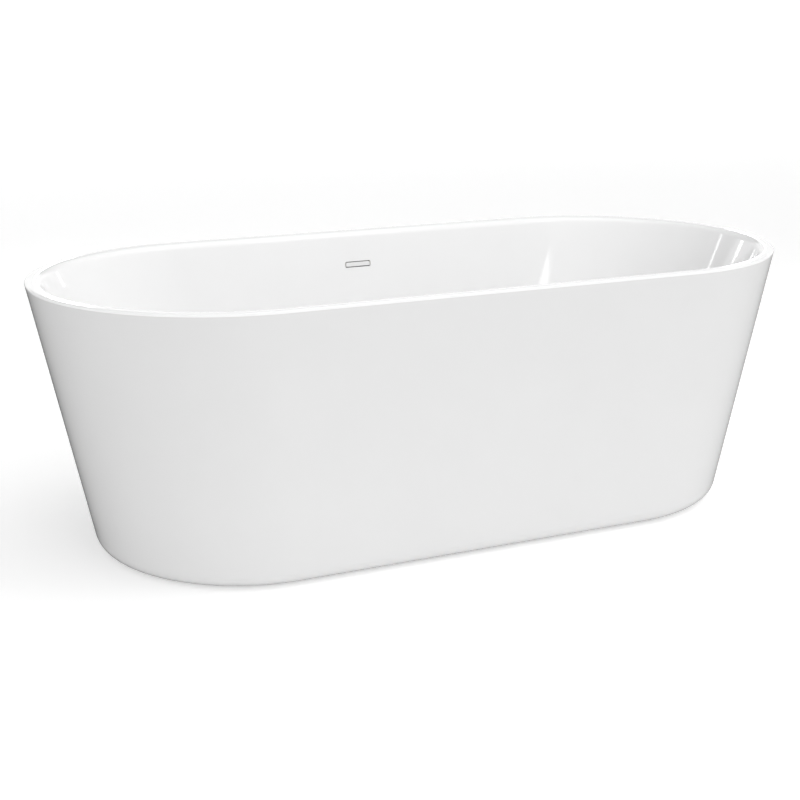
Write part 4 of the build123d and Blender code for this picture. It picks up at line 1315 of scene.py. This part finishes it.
def hose_route():
    """Corners of the hose's route: out of the overflow, one bend under the basin, into the waste."""
    top = in_wall(0, -19.5 * MM, HOSE_DEPTH).translation
    corner_y = top.y - (top.z - HOSE_LEVEL_Z) * math.tan(SIDE_SLOPE)
    return top, Vector((0, corner_y, HOSE_LEVEL_Z)), Vector((0, HOSE_START_Y, HOSE_LEVEL_Z))


def hose_curve():
    """The route as a curve: two straight runs and one round bend."""
    top, corner, end = hose_route()
    down, along = (corner - top).normalized(), (end - corner).normalized()
    sweep = down.angle(along)
    reach = HOSE_BEND * math.tan(sweep / 2)
    handle = 4 / 3 * math.tan(sweep / 4) * HOSE_BEND
    bend_in, bend_out = corner - down * reach, corner + along * reach
    first, last = (bend_in - top) / 3, (end - bend_out) / 3
    knots = ((top, top - first, top + first), (bend_in, bend_in - first, bend_in + down * handle),
             (bend_out, bend_out - along * handle, bend_out + last), (end, end - last, end + last))
    data = bpy.data.curves.new("hose_route", "CURVE")
    data.dimensions = "3D"
    data.resolution_u = 32
    spline = data.splines.new("BEZIER")
    spline.bezier_points.add(len(knots) - 1)
    for point, (place, left, right) in zip(spline.bezier_points, knots):
        point.handle_left_type = point.handle_right_type = "FREE"
        point.co, point.handle_left, point.handle_right = place, left, right
    curve = bpy.data.objects.new("hose_route", data)
    bpy.context.scene.collection.objects.link(curve)
    bpy.context.view_layer.update()
    return curve, (bend_in - top).length + HOSE_BEND * sweep + (end - bend_out).length


def make_hose():
    """Corrugated hose with smooth cuffs, one ridge every 5 mm."""
    curve, length = hose_curve()
    pitch, depth = 5 * MM, 1.1 * MM
    ridges = int((length - 2 * HOSE_CUFF) / pitch)
    profile = [(HOSE_BORE, 0), (HOSE_RADIUS - 0.3 * MM, 0), (HOSE_RADIUS, 0.3 * MM)]
    profile += [(HOSE_RADIUS, HOSE_CUFF - 1 * MM)]
    for ridge in range(ridges):
        z = HOSE_CUFF + ridge * pitch
        profile += [(HOSE_RADIUS - depth, z), (HOSE_RADIUS - depth, z + 1.6 * MM)]
        profile += [(HOSE_RADIUS - 0.25 * MM, z + 2.4 * MM), (HOSE_RADIUS, z + 3.2 * MM)]
        profile += [(HOSE_RADIUS - 0.25 * MM, z + 4 * MM)]
    profile += [(HOSE_RADIUS, length - HOSE_CUFF + 1 * MM), (HOSE_RADIUS, length - 0.3 * MM),
                (HOSE_RADIUS - 0.3 * MM, length), (HOSE_BORE, length)]
    for bore_step in range(39, 0, -1):  # the smooth bore needs rings too, to follow the bend
        profile.append((HOSE_BORE, length * bore_step / 40))
    hose = lathe("corrugated_hose", profile, 28)
    moved(hose, at(0, 0, 0, 90, "Y"))
    modify(hose, "CURVE", object=curve, deform_axis="POS_X")
    bpy.data.objects.remove(curve)
    face_outwards(hose)
    smooth(hose, 50)
    return finish_piece(hose, hose_plastic, "bath", "hose_plastic", "overflow_hose")


def make_hose_clips():
    """Worm-drive clips: a steel band, a small housing and a hexagonal screw."""
    width = 8 * MM
    inner, outer = HOSE_RADIUS + 0.05 * MM, HOSE_RADIUS + 1.2 * MM
    edge = 0.3 * MM
    band = lathe("clip", [(inner, 0), (outer - edge, 0), (outer, edge), (outer, width - edge),
                          (outer - edge, width), (inner, width)], 64)
    housing = box("housing", (-3.5 * MM, outer - 0.8 * MM, 0.6 * MM),
                  (3.5 * MM, outer + 4.6 * MM, width - 0.6 * MM), 1 * MM)
    cut(band, housing, "UNION")
    screw = hexagon("screw", 5 * MM, 3 * MM, 7 * MM, 0.5 * MM)
    cut(band, moved(screw, at(0, outer + 2 * MM, width / 2, 90, "Y")), "UNION")
    top, corner, end = hose_route()
    places = []
    for start, way in ((top, (corner - top).normalized()), (end, (corner - end).normalized())):
        turn = way.to_track_quat("Z", "X").to_matrix().to_4x4()
        places.append(Matrix.Translation(start + way * 3 * MM) @ turn)
    clips = join(copies(band, places), "worm_drive_clips")
    smooth(clips)
    return finish_piece(clips, zinc_plate, "bath", "zinc_steel", "hose_clips")


# ---------------------------------------------------------------- build
make_skirt()
make_basin()
make_board()
make_rails()
make_crossbars()
make_caps()
make_board_screws()
make_nuts()
make_studs()
make_foot_pads()
make_blocks()
make_brackets()
make_bracket_screws()
make_drain_flange()
make_cartridge()
make_plug()
make_spring()
make_drain_gaskets()
make_waste_body()
make_outlet()
make_overflow_cover()
make_overflow_gasket()
make_overflow_body()
make_hose()
make_hose_clips()
KEPT = {"rim_adhesive": adhesive}
for name, cad_piece in nodes.items():
    if not cad_piece.hide_render:
        cad_piece.data.materials.clear()
        cad_piece.data.materials.append(KEPT.get(name, polypropylene))


# ---------------------------------------------------------------- studio
COVE_START = 8.0
COVE_RADIUS = 4.0
COVE_STEPS = 24
COVE_SIDES = 128


def make_floor():
    """A round white floor. It is left out of reflections, so glossy ends keep their own tone."""
    deselect()
    bpy.ops.mesh.primitive_circle_add(vertices=COVE_SIDES, radius=COVE_START, fill_type="NGON")
    floor = bpy.context.object
    floor.name = "studio_floor"
    floor.visible_glossy = False
    floor.data.materials.append(make_floor_paint())
    return floor


def make_cyclorama(paint):
    """The wall round the floor: it curves up out of it on every side, evenly lit."""
    deselect()
    bpy.ops.mesh.primitive_circle_add(vertices=COVE_SIDES, radius=COVE_START, fill_type="NOTHING")
    cove = bpy.context.object
    cove.name = "studio_cyclorama"
    edit(cove, "EDGE")
    bpy.ops.mesh.select_all(action="SELECT")
    old_radius, old_z = COVE_START, 0.0
    for step in range(1, COVE_STEPS + 1):
        turn = math.radians(90) * step / COVE_STEPS
        new_radius = COVE_START + COVE_RADIUS * math.sin(turn)
        new_z = COVE_RADIUS * (1 - math.cos(turn))
        bpy.ops.mesh.extrude_edges_move(TRANSFORM_OT_translate={"value": (0, 0, new_z - old_z)})
        share = new_radius / old_radius
        bpy.ops.transform.resize(value=(share, share, 1), center_override=(0, 0, new_z))
        old_radius, old_z = new_radius, new_z
    leave_edit()
    active(cove)
    bpy.ops.object.shade_smooth()
    cove.data.materials.append(paint)


def make_floor_paint():
    material, _, shader = new_material("matt_white_floor")
    shader.inputs["Base Color"].default_value = linear("#FBFBFB")
    shader.inputs["Roughness"].default_value = 0.7
    shader.inputs["Specular IOR Level"].default_value = 0.2
    shader.inputs["Emission Color"].default_value = linear("#FFFFFF")
    shader.inputs["Emission Strength"].default_value = FLOOR_GLOW
    return material


def aim(thing, place, target):
    thing.location = place
    thing.rotation_euler = (Vector(target) - Vector(place)).to_track_quat("-Z", "Y").to_euler()


def toward(azimuth, elevation, distance, centre):
    """A place at an azimuth from the front, an elevation and a distance."""
    turn, rise = math.radians(azimuth), math.radians(elevation)
    return Vector(centre) + distance * Vector(
        (math.sin(turn) * math.cos(rise), -math.cos(turn) * math.cos(rise), math.sin(rise)))


def make_softbox(name, place, target, width, height, radiance):
    """A rectangular lamp of an even brightness, however large it is."""
    light = bpy.data.lights.new(name, "AREA")
    light.shape = "RECTANGLE"
    light.size = width
    light.size_y = height
    light.energy = radiance * math.pi * width * height
    lamp = bpy.data.objects.new(name, light)
    lamp.visible_camera = False
    bpy.context.scene.collection.objects.link(lamp)
    aim(lamp, place, target)


def make_world():
    """A white sky, brightest in front and to the right, dimmer towards the left and the back."""
    world = bpy.data.worlds.new("white_studio")
    bpy.context.scene.world = world
    world.use_nodes = True
    tree = world.node_tree
    direction = add(tree, "TexCoord").outputs["Generated"]
    slope = add(tree, "VectorMath", {"operation": "DOT_PRODUCT", 0: direction, 1: SKY_SLOPE})
    level = add(tree, "Math", {"operation": "ADD", "use_clamp": True,
                               0: slope.outputs["Value"], 1: SKY_LEVEL})
    fill(tree.nodes["Background"], {"Color": level.outputs["Value"], "Strength": SKY_STRENGTH})


def make_camera():
    azimuth, elevation = math.radians(-24.4), math.radians(14.6)
    distance = 3.2415
    target = Vector((-0.0336, 0, 0.3373))
    away = Vector((math.sin(azimuth) * math.cos(elevation), -math.cos(azimuth) * math.cos(elevation),
                   math.sin(elevation)))
    data = bpy.data.cameras.new("camera")
    data.sensor_width = 36
    data.lens = 65.53
    data.shift_x = -0.0079
    data.shift_y = -0.0442
    camera = bpy.data.objects.new("camera", data)
    bpy.context.scene.collection.objects.link(camera)
    aim(camera, target + away * distance, target)
    bpy.context.scene.camera = camera


FLOOR_GLOW = 0.24
SKY_LEVEL = 0.475
SKY_SLOPE = (0.18, -0.5, 0.10)
SKY_STRENGTH = 1.22
LAMP_DISTANCE = 4.0

floor = make_floor()
make_cyclorama(floor.data.materials[0])
make_world()
make_camera()
make_softbox("ceiling_softbox", (0.0, -0.2, 3.2), (0, 0, 0.3), 3.0, 1.8, 1.15)
LAMPS = (  # name, the point that shows it, azimuth, elevation, width, height, brightness
    ("window_on_far_wall", (0.515, 0.335, 0.45), -5.0, 14.4, 0.49, 0.30, 5.0),
    ("strip_on_right_end", (0.794, 0.015, 0.525), -143.5, 21.0, 0.10, 0.50, 7.0),
    ("strip_on_left_end", (-0.742, 0.203, 0.545), 122.0, 7.6, 0.12, 0.30, 5.0),
    ("window_on_far_roll", (-0.09, 0.370, 0.571), 33.0, 50.0, 0.8, 0.35, 8.0),
    ("spot_on_left_roll", (-0.601, 0.335, 0.570), 68.4, 30.1, 0.35, 0.25, 9.0),
    ("spot_on_right_roll", (0.804, -0.075, 0.563), -167.6, 12.4, 0.20, 0.20, 9.0),
)
for name, shown_at, azimuth, elevation, width, height, radiance in LAMPS:
    place = toward(azimuth, elevation, LAMP_DISTANCE, shown_at)
    make_softbox(name, place, shown_at, width, height, radiance)
bpy.context.scene.view_settings.view_transform = "Standard"
